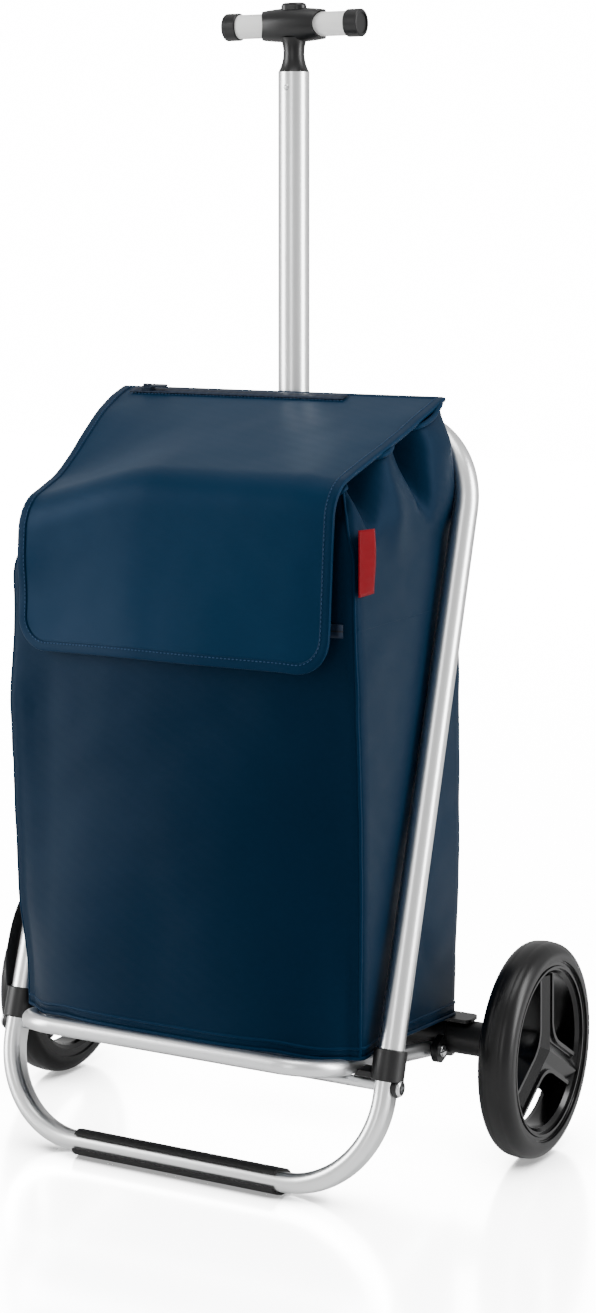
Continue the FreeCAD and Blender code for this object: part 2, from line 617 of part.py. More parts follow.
def strap_left():
    """Short webbing band from the top of the left clamp up to a loop round the side tube."""
    x = FRAME_HALF_WIDTH + CLAMP_R - STRAP_T - 0.4
    z0 = CLAMP_FOOT + CLAMP_HEIGHT
    z1 = z0 + STRAP_LENGTH
    middle = (z0 + z1) / 2
    loop_r = SIDE_TUBE_R + SOFT_GAP
    end_x = FRAME_HALF_WIDTH + loop_r
    y = -STRAP_WIDTH / 2
    inner = arc(V(x, y, z0), V(x + STRAP_BOW, y, middle), V(end_x, y, z1))
    outer = arc(V(end_x + STRAP_T, y, z1), V(x + STRAP_BOW + STRAP_T, y, middle), V(x + STRAP_T, y, z0))
    ends = [line(V(end_x, y, z1), V(end_x + STRAP_T, y, z1)), line(V(x + STRAP_T, y, z0), V(x, y, z0))]
    band = Part.Face(Part.Wire([inner, ends[0], outer, ends[1]])).extrude(V(0, STRAP_WIDTH, 0))
    loop = upright(loop_r + STRAP_T, z1 - 2, z1 + 18, FRAME_HALF_WIDTH, 0)
    strap = joined([band, loop])
    strap = strap.cut(upright(loop_r, z0 - 1, z1 + 30, FRAME_HALF_WIDTH, 0))
    keep = box(0, FRAME_HALF_WIDTH + 60, -40, 40, z0, z1 + 30)
    return mirrored(leaned(strap.common(keep)), "left")


# ---- platform ring and its ears ----
def ring_path():
    w = RING_HALF_WIDTH
    return [V(-w, PIVOT_Y, PIVOT_Z), V(-w, RING_Y, RING_FRONT_Z),
            V(w, RING_Y, RING_FRONT_Z), V(w, PIVOT_Y, PIVOT_Z)]


def ring_solid(radius, setback):
    path = ring_path()
    right_arm = (path[2] - path[3]).normalize()
    left_arm = (path[1] - path[0]).normalize()
    path[0] = path[0] + left_arm * setback
    path[3] = path[3] + right_arm * setback
    return swept(ring_profile(radius, path[0], left_arm), path, RING_BEND_R)


def ring_arm_envelope():
    a = V(RING_HALF_WIDTH, RING_Y + RING_BEND_R, RING_FRONT_Z - RING_SLOPE * RING_BEND_R)
    b = V(RING_HALF_WIDTH, PIVOT_Y, PIVOT_Z)
    return rod(RING_R + SOFT_GAP, (b - a).Length, a, b - a)


def platform_ring():
    ends = []
    for side in MIRROR.values():
        ends.append(Part.makeSphere(RING_R, V(side * RING_HALF_WIDTH, PIVOT_Y, PIVOT_Z)))
    ring = joined([ring_solid(RING_R, 0)] + ends).cut(ring_solid(RING_BORE, RING_R))
    ring = ring.cut(along_x(PIVOT_R + RUN, -RING_HALF_WIDTH - 20, RING_HALF_WIDTH + 20, PIVOT_Y, PIVOT_Z))
    return ring


def ring_ear(side):
    x0 = RING_HALF_WIDTH + RING_R + EAR_GAP
    x1 = x0 + EAR_T
    band = along_x(HOUSING_R + 3.2, x0, x1, AXLE_Y, AXLE_Z)
    eye = along_x(EAR_R, x0, x1, PIVOT_Y, PIVOT_Z)
    run = V(0, PIVOT_Y - AXLE_Y, PIVOT_Z - AXLE_Z)
    across = V(0, -run.z, run.y).normalize() * EAR_R
    housing = V(x0, AXLE_Y, AXLE_Z)
    web = polygon([housing + across, housing + run + across, housing + run - across, housing - across])
    ear = joined([band, eye, web.extrude(V(EAR_T, 0, 0))])
    ear = ear.cut(along_x(HOUSING_R, x0 - 1, x1 + 1, AXLE_Y, AXLE_Z))
    ear = ear.cut(along_x(PIVOT_R, x0 - 1, x1 + 1, PIVOT_Y, PIVOT_Z))
    ear = ear.cut(ledge_envelope())
    return mirrored(ear, side)


def pivot_screw(side):
    x0 = RING_HALF_WIDTH - RING_R + 1.0
    face = RING_HALF_WIDTH + RING_R + EAR_GAP + EAR_T
    shank = along_x(PIVOT_R, x0, face, PIVOT_Y, PIVOT_Z)
    head = along_x(PIVOT_HEAD_R, face, face + PIVOT_HEAD_T, PIVOT_Y, PIVOT_Z)
    rim = face + PIVOT_HEAD_T - 0.1
    head = softened(head, 1.4, lambda edge: edge.BoundBox.XMin > rim)
    slot = box(face + 1.2, face + 6, PIVOT_Y - 8, PIVOT_Y + 8, PIVOT_Z - 0.6, PIVOT_Z + 0.6)
    return mirrored(joined([shank, head]).cut(slot), side)


# ---- axle group ----
def axle_housing():
    tube = along_x(HOUSING_R, -HOUSING_HALF, HOUSING_HALF, AXLE_Y, AXLE_Z)
    return tube.cut(along_x(HOUSING_BORE, -HOUSING_HALF, HOUSING_HALF, AXLE_Y, AXLE_Z))


def axle_bush(side):
    plug = along_x(HOUSING_BORE, HOUSING_HALF - BUSH_DEPTH, HOUSING_HALF, AXLE_Y, AXLE_Z)
    flange = along_x(HOUSING_R, HOUSING_HALF, HOUSING_HALF + BUSH_FLANGE, AXLE_Y, AXLE_Z)
    bush = joined([plug, flange])
    bore = along_x(AXLE_R, 0, HOUSING_HALF + 20, AXLE_Y, AXLE_Z)
    return mirrored(bush.cut(bore), side)


def axle():
    return along_x(AXLE_R, -AXLE_HALF, AXLE_HALF, AXLE_Y, AXLE_Z)


def ledge_envelope():
    z0 = LEDGE_TOP_Z - LEDGE_T
    return box(-LEDGE_HALF_X, LEDGE_HALF_X, BAG_BACK_Y - LEDGE_UNDER_BAG, AXLE_Y + LEDGE_BEHIND_AXLE,
               z0, LEDGE_TOP_Z)


def ledge_plate():
    """Thin plate on top of the housing that carries the bag's rear bottom edge."""
    plate = ledge_envelope()
    plate = softened(plate, 6.0, lambda edge: abs(edge.tangentAt(edge.FirstParameter).z) > 0.99)
    ribs = []
    for x in (-150.0, -90.0, 90.0, 150.0):
        ribs.append(box(x - 2, x + 2, AXLE_Y - 6, AXLE_Y + 6, AXLE_Z, LEDGE_TOP_Z - 1))
    plate = joined([plate] + ribs)
    plate = plate.cut(along_x(HOUSING_R, -300, 300, AXLE_Y, AXLE_Z))
    return plate.cut(foot_envelope())


def foot_envelope():
    block = box(-FOOT_HALF_X, FOOT_HALF_X, AXLE_Y - HOUSING_R - 4, MAST_Y + FOOT_SOCKET_R,
                AXLE_Z - HOUSING_R - 4, FOOT_TUBE_Z + 6)
    front = BAG_BACK_Y + SOFT_GAP
    hidden = box(-FOOT_HALF_X - 1, FOOT_HALF_X + 1, front - 60, front, LEDGE_TOP_Z - 4, 400)
    socket = upright(FOOT_SOCKET_R, FOOT_TUBE_Z, FOOT_SOCKET_TOP_Z, 0, MAST_Y)
    return joined([block, socket]).cut(hidden)


def mast_foot():
    """Moulding that grips the axle housing and holds the foot of the outer tube."""
    body = foot_envelope()
    body = body.cut(along_x(HOUSING_R, -300, 300, AXLE_Y, AXLE_Z))
    return body.cut(upright(OUTER_TUBE_R, FOOT_TUBE_Z, FOOT_SOCKET_TOP_Z + 1, 0, MAST_Y))


def axle_washer(side):
    start = HOUSING_HALF + BUSH_FLANGE
    washer = along_x(WASHER_R, start, start + WASHER_T, AXLE_Y, AXLE_Z)
    return mirrored(washer.cut(axle()), side)


# ---- wheels ----
def tyre(side):
    x0 = WHEEL_INNER_X
    x1 = x0 + TYRE_WIDTH
    middle = (x0 + x1) / 2
    inner = RIM_R + RUN
    shoulder = WHEEL_R - TREAD_ROUND
    edges = [line(V(x0, 0, inner), V(x0, 0, shoulder)),
             arc(V(x0, 0, shoulder), V(x0 + 3.2, 0, WHEEL_R - 3.6), V(x0 + TREAD_ROUND, 0, WHEEL_R - 0.5)),
             arc(V(x0 + TREAD_ROUND, 0, WHEEL_R - 0.5), V(middle, 0, WHEEL_R),
                 V(x1 - TREAD_ROUND, 0, WHEEL_R - 0.5)),
             arc(V(x1 - TREAD_ROUND, 0, WHEEL_R - 0.5), V(x1 - 3.2, 0, WHEEL_R - 3.6), V(x1, 0, shoulder)),
             line(V(x1, 0, shoulder), V(x1, 0, inner)),
             line(V(x1, 0, inner), V(x0, 0, inner))]
    body = Part.Face(Part.Wire(edges)).revolve(V(0, 0, 0), V(1, 0, 0), 360)
    body.translate(V(0, AXLE_Y, AXLE_Z))
    return mirrored(body, side)


def window(turn, half_width, corner_r, x0, x1):
    """Opening between two arms: straight sides along the arms, one large rounded corner."""
    corner = half_width / math.sin(math.radians(60))
    far = WHEEL_R
    bisector = math.radians(turn)
    points = []
    for arm in (-60, 60):
        angle = bisector + math.radians(arm)
        tip = V(0, math.cos(bisector) * corner, math.sin(bisector) * corner)
        points.append(tip + V(0, math.cos(angle), math.sin(angle)) * far)
    tip = V(0, math.cos(bisector) * corner, math.sin(bisector) * corner)
    edges = rounded_edges([points[0], tip, points[1]], corner_r)
    reach = V(0, math.cos(bisector), math.sin(bisector)) * far * 2
    outer = [line(points[1], points[1] + reach), line(points[1] + reach, points[0] + reach),
             line(points[0] + reach, points[0])]
    face = Part.Face(Part.Wire(edges + outer))
    face.translate(V(x0, 0, 0))
    return face.extrude(V(x1 - x0, 0, 0)).common(along_x(RIM_WELL_R, x0, x1, 0, 0))


def arm_ridge(turn, x_floor, x_peak):
    """Low roof along one arm, from the hub out to the well."""
    a = V(x_floor, -RIDGE_HALF_WIDTH, 0)
    b = V(x_peak, 0, 0)
    c = V(x_floor, RIDGE_HALF_WIDTH, 0)
    roof = polygon([a, b, c]).extrude(V(0, 0, RIM_WELL_R + 0.5))
    roof.rotate(V(0, 0, 0), V(1, 0, 0), turn)
    return roof


def rim(side):
    x1 = WHEEL_INNER_X + TYRE_WIDTH - (TYRE_WIDTH - RIM_WIDTH) / 2
    x0 = x1 - RIM_WIDTH
    well = RIM_WELL_R
    section = polygon([V(x0, 0, RIM_R), V(x0, 0, RIM_LIP_R), V(x0 + 2, 0, well + 1), V(x0 + 6, 0, well),
                       V(x1 - 6, 0, well), V(x1 - 2.5, 0, RIM_LIP_R - 1.5), V(x1 - 2.5, 0, RIM_LIP_R),
                       V(x1, 0, RIM_LIP_R + 0.4), V(x1, 0, RIM_LIP_R + 2.2),
                       V(x1 - 1.2, 0, RIM_LIP_R + 2.8), V(x1 - 1.2, 0, RIM_R - 1.6),
                       V(x1, 0, RIM_R - 1.2), V(x1, 0, RIM_R)])
    barrel = section.revolve(V(0, 0, 0), V(1, 0, 0), 360)
    floor_x1 = x1 - ARM_FLOOR_DEPTH
    floor_x0 = floor_x1 - ARM_FLOOR_T
    bead_x1 = x1 - ARM_BEAD_DEPTH
    wall_x0 = bead_x1 - ARM_WALL_DEPTH
    plate = along_x(well + 0.5, floor_x0, floor_x1, 0, 0)
    walls = []
    for turn in (30, 150, 270):
        plate = plate.cut(window(turn, ARM_HALF_WIDTH, WINDOW_CORNER_R, floor_x0 - 1, floor_x1 + 1))
        outer = window(turn, ARM_HALF_WIDTH - ARM_WALL_T, WINDOW_CORNER_R + ARM_WALL_T, wall_x0, bead_x1)
        inner = window(turn, ARM_HALF_WIDTH, WINDOW_CORNER_R, wall_x0 - 1, bead_x1 + 1)
        walls.append(outer.cut(inner))
        lip = window(turn, ARM_HALF_WIDTH - ARM_WALL_T, WINDOW_CORNER_R + ARM_WALL_T,
                     wall_x0, wall_x0 + WINDOW_LIP_T)
        gap = window(turn, ARM_HALF_WIDTH + WINDOW_LIP, WINDOW_CORNER_R - WINDOW_LIP,
                     wall_x0 - 1, wall_x0 + WINDOW_LIP_T + 1)
        walls.append(lip.cut(gap))
    ridges = [arm_ridge(turn, floor_x1, x1 - ARM_RIDGE_DEPTH) for turn in (0, 120, 240)]
    hub = along_x(HUB_R, HOUSING_HALF + BUSH_FLANGE + WASHER_T + WASHER_PLAY, floor_x1, 0, 0)
    body = joined([barrel, plate, hub] + walls + ridges)
    body = body.cut(along_x(AXLE_R + RUN, 0, AXLE_HALF + 0.5, 0, 0))
    body.translate(V(0, AXLE_Y, AXLE_Z))
    return mirrored(body, side)


# ---- bag ----
# height, half width, front corner's distance from the mast, how far the front bulges past it,
# and the rear's distance from the mast
BAG_LEVELS = [
    (BAG_BACK_Z - 12, BAG_HALF_WIDTH - 4.6, RING_REACH - 43, 43.0, BAG_REAR_FROM_MAST),
    (BAG_FRONT_Z + 10, BAG_HALF_WIDTH - 4.0, RING_REACH - 42, 41.0, BAG_REAR_FROM_MAST),
    (BAG_FRONT_Z + 100, BAG_HALF_WIDTH - 2.2, RING_REACH - 39, 36.0, BAG_REAR_FROM_MAST),
    (FLAP_HEM_Z - 100, BAG_HALF_WIDTH - 0.2, RING_REACH - 34, 28.0, BAG_REAR_FROM_MAST),
    (FLAP_HEM_Z - 20, BAG_HALF_WIDTH - 0.4, RING_REACH - 29, 18.0, BAG_REAR_FROM_MAST + 2),
    (FLAP_HEM_Z + 50, BAG_HALF_WIDTH - 0.8, RING_REACH - 26, 12.0, BAG_REAR_FROM_MAST + 10),
    (FLAP_HEM_Z + 115, BAG_HALF_WIDTH - 2.5, RING_REACH - 27, 13.0, BAG_BACK_FROM_MAST + 1.5),
    (FLAP_HEM_Z + 165, BAG_HALF_WIDTH - 6.5, RING_REACH - 29, 12.0, BAG_BACK_FROM_MAST + 2),
    (FLAP_HINGE_Z + 13, BAG_HALF_WIDTH - 11, RING_REACH - 32, 10.0, BAG_BACK_FROM_MAST + 2),
]


def bag_section(level, inset):
    z, half, front, bulge, rear = level
    w = half - inset
    back = MAST_Y - rear - inset
    y = MAST_Y - front + inset
    r = BAG_CORNER_R - inset
    q = BAG_BACK_CORNER_R - inset
    k = 1 - math.sqrt(0.5)
    right = line(V(w, back - q, z), V(w, y + r, z))
    front_right = arc(V(w, y + r, z), V(w - r * k, y + r * k, z), V(w - r, y, z))
    nose = arc(V(w - r, y, z), V(0, y - bulge, z), V(r - w, y, z))
    front_left = arc(V(r - w, y, z), V(r * k - w, y + r * k, z), V(-w, y + r, z))
    left = line(V(-w, y + r, z), V(-w, back - q, z))
    back_left = arc(V(-w, back - q, z), V(q * k - w, back - q * k, z), V(q - w, back, z))
    rear = line(V(q - w, back, z), V(w - q, back, z))
    back_right = arc(V(w - q, back, z), V(w - q * k, back - q * k, z), V(w, back - q, z))
    return Part.Wire([right, front_right, nose, front_left, left, back_left, rear, back_right])


def bag_loft(inset):
    sections = [bag_section(level, inset) for level in BAG_LEVELS]
    return Part.makeLoft(sections, True, False)


def flap_profile(inset, back_y, foot_z):
    """Side view of everything that lies more than inset under the flap's outer face."""
    hinge = V(0, MAST_Y - BAG_BACK_FROM_MAST, FLAP_HINGE_Z + FLAP_T / 2)
    knee = V(0, MAST_Y - FLAP_KNEE_FROM_MAST, FLAP_KNEE_Z)
    hem = V(0, MAST_Y - FLAP_HEM_FROM_MAST, FLAP_HEM_Z)
    top_run = (hinge - knee).normalize()
    front_run = (hem - knee).normalize()
    top_normal = V(0, top_run.z, -top_run.y)
    front_normal = V(0, -front_run.z, front_run.y)
    half = top_run.getAngle(front_run) / 2
    inner_knee = knee + (top_run + front_run).normalize() * (inset / math.sin(half))
    top = inner_knee + top_run * 400
    slope = top_run.z / top_run.y
    back_top = V(0, back_y, inner_knee.z + slope * (back_y - inner_knee.y))
    drop = (inner_knee.z - foot_z) / -front_run.z
    foot = inner_knee + front_run * drop
    edges = rounded_edges([back_top, inner_knee, foot], FLAP_KNEE_R - inset)
    edges.append(line(foot, V(0, back_y, foot_z)))
    edges.append(line(V(0, back_y, foot_z), back_top))
    return Part.Face(Part.Wire(edges))


def under_flap(inset, half, back_y, foot_z):
    face = flap_profile(inset, back_y, foot_z)
    face.translate(V(-half, 0, 0))
    return face.extrude(V(2 * half, 0, 0))


def bottom_line(y):
    """Height of the bag's sloping bottom at a given y."""
    front = MAST_Y - FLAP_HEM_FROM_MAST
    rear = MAST_Y - BAG_REAR_FROM_MAST
    return BAG_FRONT_Z + (BAG_BACK_Z - BAG_FRONT_Z) * (y - front) / (rear - front)


def above_bottom(raise_by):
    y0 = RING_Y - 60
    y1 = MAST_Y + 20
    points = [V(-250, y0, bottom_line(y0) + raise_by), V(-250, y1, bottom_line(y1) + raise_by),
              V(-250, y1, 800), V(-250, y0, 800)]
    return polygon(points).extrude(V(500, 0, 0))


def mast_channel(wall):
    """Recess down the middle of the bag's rear, where it lies against the mast."""
    half = HEAD_HALF_X + MAST_CHANNEL_GAP + wall
    return box(-half, half, BAG_BACK_Y - wall, MAST_Y + 20, 0, OVERALL_HEIGHT)


def bag_shell():
    outside = bag_loft(0).common(under_flap(FLAP_T + FLAP_GAP, 260, MAST_Y + 20, 20))
    outside = outside.common(above_bottom(0)).cut(mast_channel(0))
    cavity = bag_loft(BAG_WALL).common(above_bottom(BAG_WALL)).cut(mast_channel(BAG_WALL))
    return outside.cut(cavity)


def flap_outline():
    """Seen from above: full width at the hinge, narrower from the knee forward."""
    knee_y = MAST_Y - FLAP_KNEE_FROM_MAST + FLAP_KNEE_R
    front = FLAP_HALF_WIDTH - FLAP_TAPER
    points = [V(-FLAP_HALF_WIDTH, BAG_BACK_Y + 1, 0), V(-front, knee_y, 0), V(-front, RING_Y - 60, 0),
              V(front, RING_Y - 60, 0), V(front, knee_y, 0), V(FLAP_HALF_WIDTH, BAG_BACK_Y + 1, 0)]
    return polygon(points).extrude(V(0, 0, OVERALL_HEIGHT))


def flap_panel():
    z0 = FLAP_HEM_Z
    outer = under_flap(0, FLAP_HALF_WIDTH, BAG_BACK_Y, z0)
    inner = under_flap(FLAP_T, FLAP_HALF_WIDTH + 1, BAG_BACK_Y + 1, z0 - 10)
    panel = outer.cut(inner).common(flap_outline())
    r = FLAP_CORNER_R
    for side in MIRROR.values():
        x = side * (FLAP_HALF_WIDTH - FLAP_TAPER - r)
        x0, x1 = sorted([x, side * (FLAP_HALF_WIDTH + 5)])
        y0 = MAST_Y - FLAP_HEM_FROM_MAST - 30
        y1 = y0 + 80
        waste = box(x0, x1, y0, y1, z0 - 5, z0 + r)
        waste = waste.cut(rod(r, 80, V(x, y0, z0 + r), V(0, 1, 0)))
        panel = panel.cut(waste)
    roll = along_x(FLAP_T / 2, -FLAP_HALF_WIDTH, FLAP_HALF_WIDTH, BAG_BACK_Y, FLAP_HINGE_Z)
    return joined([panel, roll])


def flap_slope():
    run = V(0, FLAP_KNEE_FROM_MAST - BAG_BACK_FROM_MAST, FLAP_HINGE_Z + FLAP_T / 2 - FLAP_KNEE_Z)
    return run.normalize()


def on_flap_top(shape, back_off, lift):
    """Puts a shape drawn round the origin, lying flat, on the flap's top face."""
    run = flap_slope()
    shape.rotate(V(0, 0, 0), V(1, 0, 0), math.degrees(math.atan2(run.z, run.y)))
    origin = V(0, BAG_BACK_Y, FLAP_HINGE_Z + FLAP_T / 2)
    up = V(0, -run.z, run.y)
    shape.translate(origin - run * back_off + up * lift)
    return shape


def top_zip_tape():
    tape = box(TOP_ZIP_FROM_X, TOP_ZIP_TO_X, -ZIP_WIDTH / 2, ZIP_WIDTH / 2, 0, ZIP_T)
    return on_flap_top(tape, ZIP_WIDTH, 0)


def slider_body():
    body = box(-SLIDER_LENGTH / 2, SLIDER_LENGTH / 2, -SLIDER_WIDTH / 2, SLIDER_WIDTH / 2, 0, SLIDER_T)
    body = softened(body, 1.8, lambda edge: abs(edge.tangentAt(edge.FirstParameter).z) > 0.99)
    bridge = box(-SLIDER_LENGTH / 2 + 2, SLIDER_LENGTH / 2 - 2, -1, 1, SLIDER_T, SLIDER_T + 2.2)
    pull = box(SLIDER_LENGTH / 2 - 3, SLIDER_LENGTH / 2 + 15, -2.6, 2.6, SLIDER_T, SLIDER_T + 1.4)
    pull = softened(pull, 2.4, lambda edge: abs(edge.tangentAt(edge.FirstParameter).z) > 0.99)
    return joined([body, bridge, pull])


def top_zip_slider():
    slider = slider_body()
    slider.translate(V(TOP_ZIP_FROM_X + SLIDER_LENGTH, 0, 0))
    return on_flap_top(slider, ZIP_WIDTH, ZIP_T + SOFT_GAP)


def front_face_y(x, z):
    """Outer face of the bag's front at one place."""
    ray = Part.makeLine(V(x, RING_Y - 60, z), V(x, MAST_Y - 100, z))
    return ray.common(bag_loft(0)).BoundBox.YMin


def skin(inner, outer, region):
    """Thin piece that follows the bag between two distances outside its face."""
    return bag_loft(-outer).cut(bag_loft(-inner)).common(region)


def pocket_arc():
    """Radius and centre of the arc that the pocket's zip follows, seen from above."""
    middle = front_face_y(0, POCKET_ZIP_Z)
    sag = front_face_y(POCKET_ZIP_HALF, POCKET_ZIP_Z) - middle
    radius = (POCKET_ZIP_HALF * POCKET_ZIP_HALF + sag * sag) / (2 * sag)
    return radius, middle + radius


def pocket_zip_tape():
    half = ZIP_WIDTH / 2
    region = box(-POCKET_ZIP_HALF, POCKET_ZIP_HALF, RING_Y - 60, MAST_Y - 100,
                 POCKET_ZIP_Z - half, POCKET_ZIP_Z + half)
    return skin(SOFT_GAP, SOFT_GAP + ZIP_T, region)


def pocket_zip_slider():
    """Slider parked at the left end of the pocket's zip, its pull hanging down."""
    radius, centre_y = pocket_arc()
    face = radius + 2 * SOFT_GAP + ZIP_T
    body = box(-SLIDER_LENGTH / 2, SLIDER_LENGTH / 2, -face - POCKET_SLIDER_T, -face,
               -SLIDER_WIDTH / 2, SLIDER_WIDTH / 2)
    pull = box(-2.4, 2.4, -face - POCKET_SLIDER_T, -face - POCKET_SLIDER_T + 1.2, -POCKET_PULL, 0)
    slider = joined([body, pull])
    slider.rotate(V(0, 0, 0), V(0, 0, 1), -math.degrees(math.asin(POCKET_SLIDER_X / face)))
    slider.translate(V(0, centre_y, POCKET_ZIP_Z))
    print("pocket zip arc: radius", round(radius, 3), "centre y", round(centre_y, 3))
    return slider


def corner_tag():
    """Plain ribbon sewn into the seam at the bag's right front corner."""
    seam_y = front_face_y(BAG_HALF_WIDTH - BAG_CORNER_R - 1, TAG_BOTTOM_Z) + BAG_CORNER_R / 2
    region = box(BAG_HALF_WIDTH - BAG_CORNER_R, BAG_HALF_WIDTH + 20, seam_y, seam_y + TAG_WIDTH,
                 TAG_BOTTOM_Z, TAG_BOTTOM_Z + TAG_HEIGHT)
    return skin(SOFT_GAP, SOFT_GAP + TAG_T, region)


def main():
    os.makedirs("parts", exist_ok=True)
    save("outer_tube", outer_tube())
    save("tube_collar", tube_collar())
    save("head_bracket", head_bracket())
    save("mast_foot", mast_foot())
    save("axle_housing", axle_housing())
    save("axle", axle())
    save("ledge_plate", ledge_plate())
    save("inner_tube", inner_tube())
    save("glide_plug", glide_plug())
    save("brake_shoe", brake_shoe())
    save("handle_body", handle_body())
    save("handle_rivet", handle_rivet())
    save("push_button", push_button())
    save("push_rod", push_rod())
    save("foot_loop", foot_loop())
    save("foot_pad", foot_pad())
    save("cross_bar", cross_bar())
    save("strap_left", strap_left())
    save("platform_ring", platform_ring())
    save("bag_shell", bag_shell())
    save("flap_panel", flap_panel())
    save("top_zip_tape", top_zip_tape())
    save("top_zip_slider", top_zip_slider())
    save("pocket_zip_tape", pocket_zip_tape())
    save("pocket_zip_slider", pocket_zip_slider())
    save("corner_tag", corner_tag())
    for side in MIRROR:
        save("handle_tube_" + side, handle_tube(side))
        save("handle_cap_" + side, handle_cap(side))
        save("side_tube_" + side, side_tube(side))
        save("clamp_" + side, clamp(side))
        save("loop_screw_" + side, loop_screw(side))
        save("ring_ear_" + side, ring_ear(side))
        save("pivot_screw_" + side, pivot_screw(side))
        save("axle_bush_" + side, axle_bush(side))
        save("axle_washer_" + side, axle_washer(side))
        save("tyre_" + side, tyre(side))
        save("rim_" + side, rim(side))


main()
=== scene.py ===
import math

import bmesh
import bpy
from mathutils import Matrix, Vector, noise


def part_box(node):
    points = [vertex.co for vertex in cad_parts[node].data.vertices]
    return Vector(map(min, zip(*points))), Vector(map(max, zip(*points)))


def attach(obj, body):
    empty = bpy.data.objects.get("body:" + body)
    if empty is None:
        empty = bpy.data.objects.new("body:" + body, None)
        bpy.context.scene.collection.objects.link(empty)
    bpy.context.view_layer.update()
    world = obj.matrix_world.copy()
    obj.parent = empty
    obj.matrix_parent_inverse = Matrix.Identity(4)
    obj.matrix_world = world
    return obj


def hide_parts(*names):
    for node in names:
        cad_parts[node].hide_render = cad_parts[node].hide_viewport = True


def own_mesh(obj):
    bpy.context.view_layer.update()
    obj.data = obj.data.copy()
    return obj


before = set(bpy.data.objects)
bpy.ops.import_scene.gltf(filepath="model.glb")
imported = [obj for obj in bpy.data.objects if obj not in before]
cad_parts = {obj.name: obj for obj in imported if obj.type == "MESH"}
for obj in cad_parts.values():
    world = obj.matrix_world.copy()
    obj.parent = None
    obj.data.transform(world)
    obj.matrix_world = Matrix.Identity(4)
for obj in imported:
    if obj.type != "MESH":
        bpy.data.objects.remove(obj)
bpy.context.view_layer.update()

# ---- camera ----
# Stands in front and to the right of the trolley, almost level, with a long lens.
camera_data = bpy.data.cameras.new("camera")
camera_data.lens = 73.8717
camera_data.sensor_width = 36.0
camera_data.shift_x = -0.00423
camera_data.shift_y = -0.30108
camera = bpy.data.objects.new("camera", camera_data)
camera.location = (1.17325, -2.02848, 0.80120)
camera.rotation_euler = (math.radians(89.0), 0.0, 0.5050066)
bpy.context.scene.collection.objects.link(camera)
bpy.context.scene.camera = camera


# ---- studio ----
# A white paper sweep under soft light from all round, two tall soft boxes at the sides, a weak one in
# front and one overhead. The floor glows like the backdrop, with a painted shadow close under the trolley, and mirrors
# it softly.
def linear(code, alpha=1.0):
    """An sRGB hex colour as the linear values that the shaders take."""
    values = []
    for start in (1, 3, 5):
        v = int(code[start:start + 2], 16) / 255.0
        values.append(v / 12.92 if v <= 0.04045 else ((v + 0.055) / 1.055) ** 2.4)
    return (*values, alpha)


def node(tree, kind, settings=None, links=None):
    """Adds one node: its settings by attribute or socket, its links from other nodes' sockets."""
    made = tree.nodes.new(kind)
    for key, value in (settings or {}).items():
        if isinstance(key, str) and hasattr(made, key):
            setattr(made, key, value)
        else:
            made.inputs[key].default_value = value
    for key, source in (links or {}).items():
        tree.links.new(source, made.inputs[key])
    return made


# How bright the room is to matt surfaces, to glossy ones, and as the backdrop itself.
WORLD_LIGHT = 0.24
WORLD_GLOSS = 0.8
BACKDROP_GLOW = 16.0
WHITE = linear("#ffffff")
FLOOR_MIRROR = 0.45
FLOOR_SHADE_REACH = 0.09

world = bpy.data.worlds.new("studio")
bpy.context.scene.world = world
world.use_nodes = True
tree = world.node_tree
tree.nodes.clear()
seen = node(tree, "ShaderNodeLightPath")
light = node(tree, "ShaderNodeMapRange", {"To Min": WORLD_LIGHT, "To Max": WORLD_GLOSS},
             {"Value": seen.outputs["Is Glossy Ray"]})
lit = node(tree, "ShaderNodeBackground", {"Color": WHITE}, {"Strength": light.outputs[0]})
shown = node(tree, "ShaderNodeBackground", {"Color": WHITE, "Strength": BACKDROP_GLOW})
mixed = node(tree, "ShaderNodeMixShader", None,
             {0: seen.outputs["Is Camera Ray"], 1: lit.outputs[0], 2: shown.outputs[0]})
node(tree, "ShaderNodeOutputWorld", None, {"Surface": mixed.outputs[0]})


def material(name):
    """A new material, its node tree and its Principled shader."""
    made = bpy.data.materials.new(name)
    made.use_nodes = True
    return made, made.node_tree, made.node_tree.nodes["Principled BSDF"]


# Coated white paper: matt light to the other surfaces; to the camera a glow, dimmed by ambient occlusion into a
# painted shadow close under the trolley, with a weak blurred mirror image of what stands on it.
sweep, tree, shader = material("white_paper_sweep")
shader.inputs["Base Color"].default_value = linear("#f4f4f4")
shader.inputs["Roughness"].default_value = 0.6
# Painted shadow: ambient occlusion dims the floor's glow where the trolley stands close above it.
nearness = node(tree, "ShaderNodeAmbientOcclusion", {"samples": 16, "Distance": FLOOR_SHADE_REACH})
shade = node(tree, "ShaderNodeMapRange", {"From Min": 0.35, "From Max": 0.95, "To Min": 0.04, "To Max": 1.0},
             {"Value": nearness.outputs["AO"]})
strength = node(tree, "ShaderNodeMath", {"operation": "MULTIPLY", 1: BACKDROP_GLOW}, {0: shade.outputs[0]})
glow = node(tree, "ShaderNodeEmission", {"Color": WHITE}, {"Strength": strength.outputs[0]})
mirror = node(tree, "ShaderNodeBsdfAnisotropic", {"Color": (BACKDROP_GLOW,) * 3 + (1.0,), "Roughness": 0.16})
polished = node(tree, "ShaderNodeMixShader", {0: FLOOR_MIRROR}, {1: glow.outputs[0], 2: mirror.outputs[0]})
seen = node(tree, "ShaderNodeLightPath")
mixed = node(tree, "ShaderNodeMixShader", None,
             {0: seen.outputs["Is Camera Ray"], 1: shader.outputs[0], 2: polished.outputs[0]})
tree.links.new(mixed.outputs[0], tree.nodes["Material Output"].inputs["Surface"])

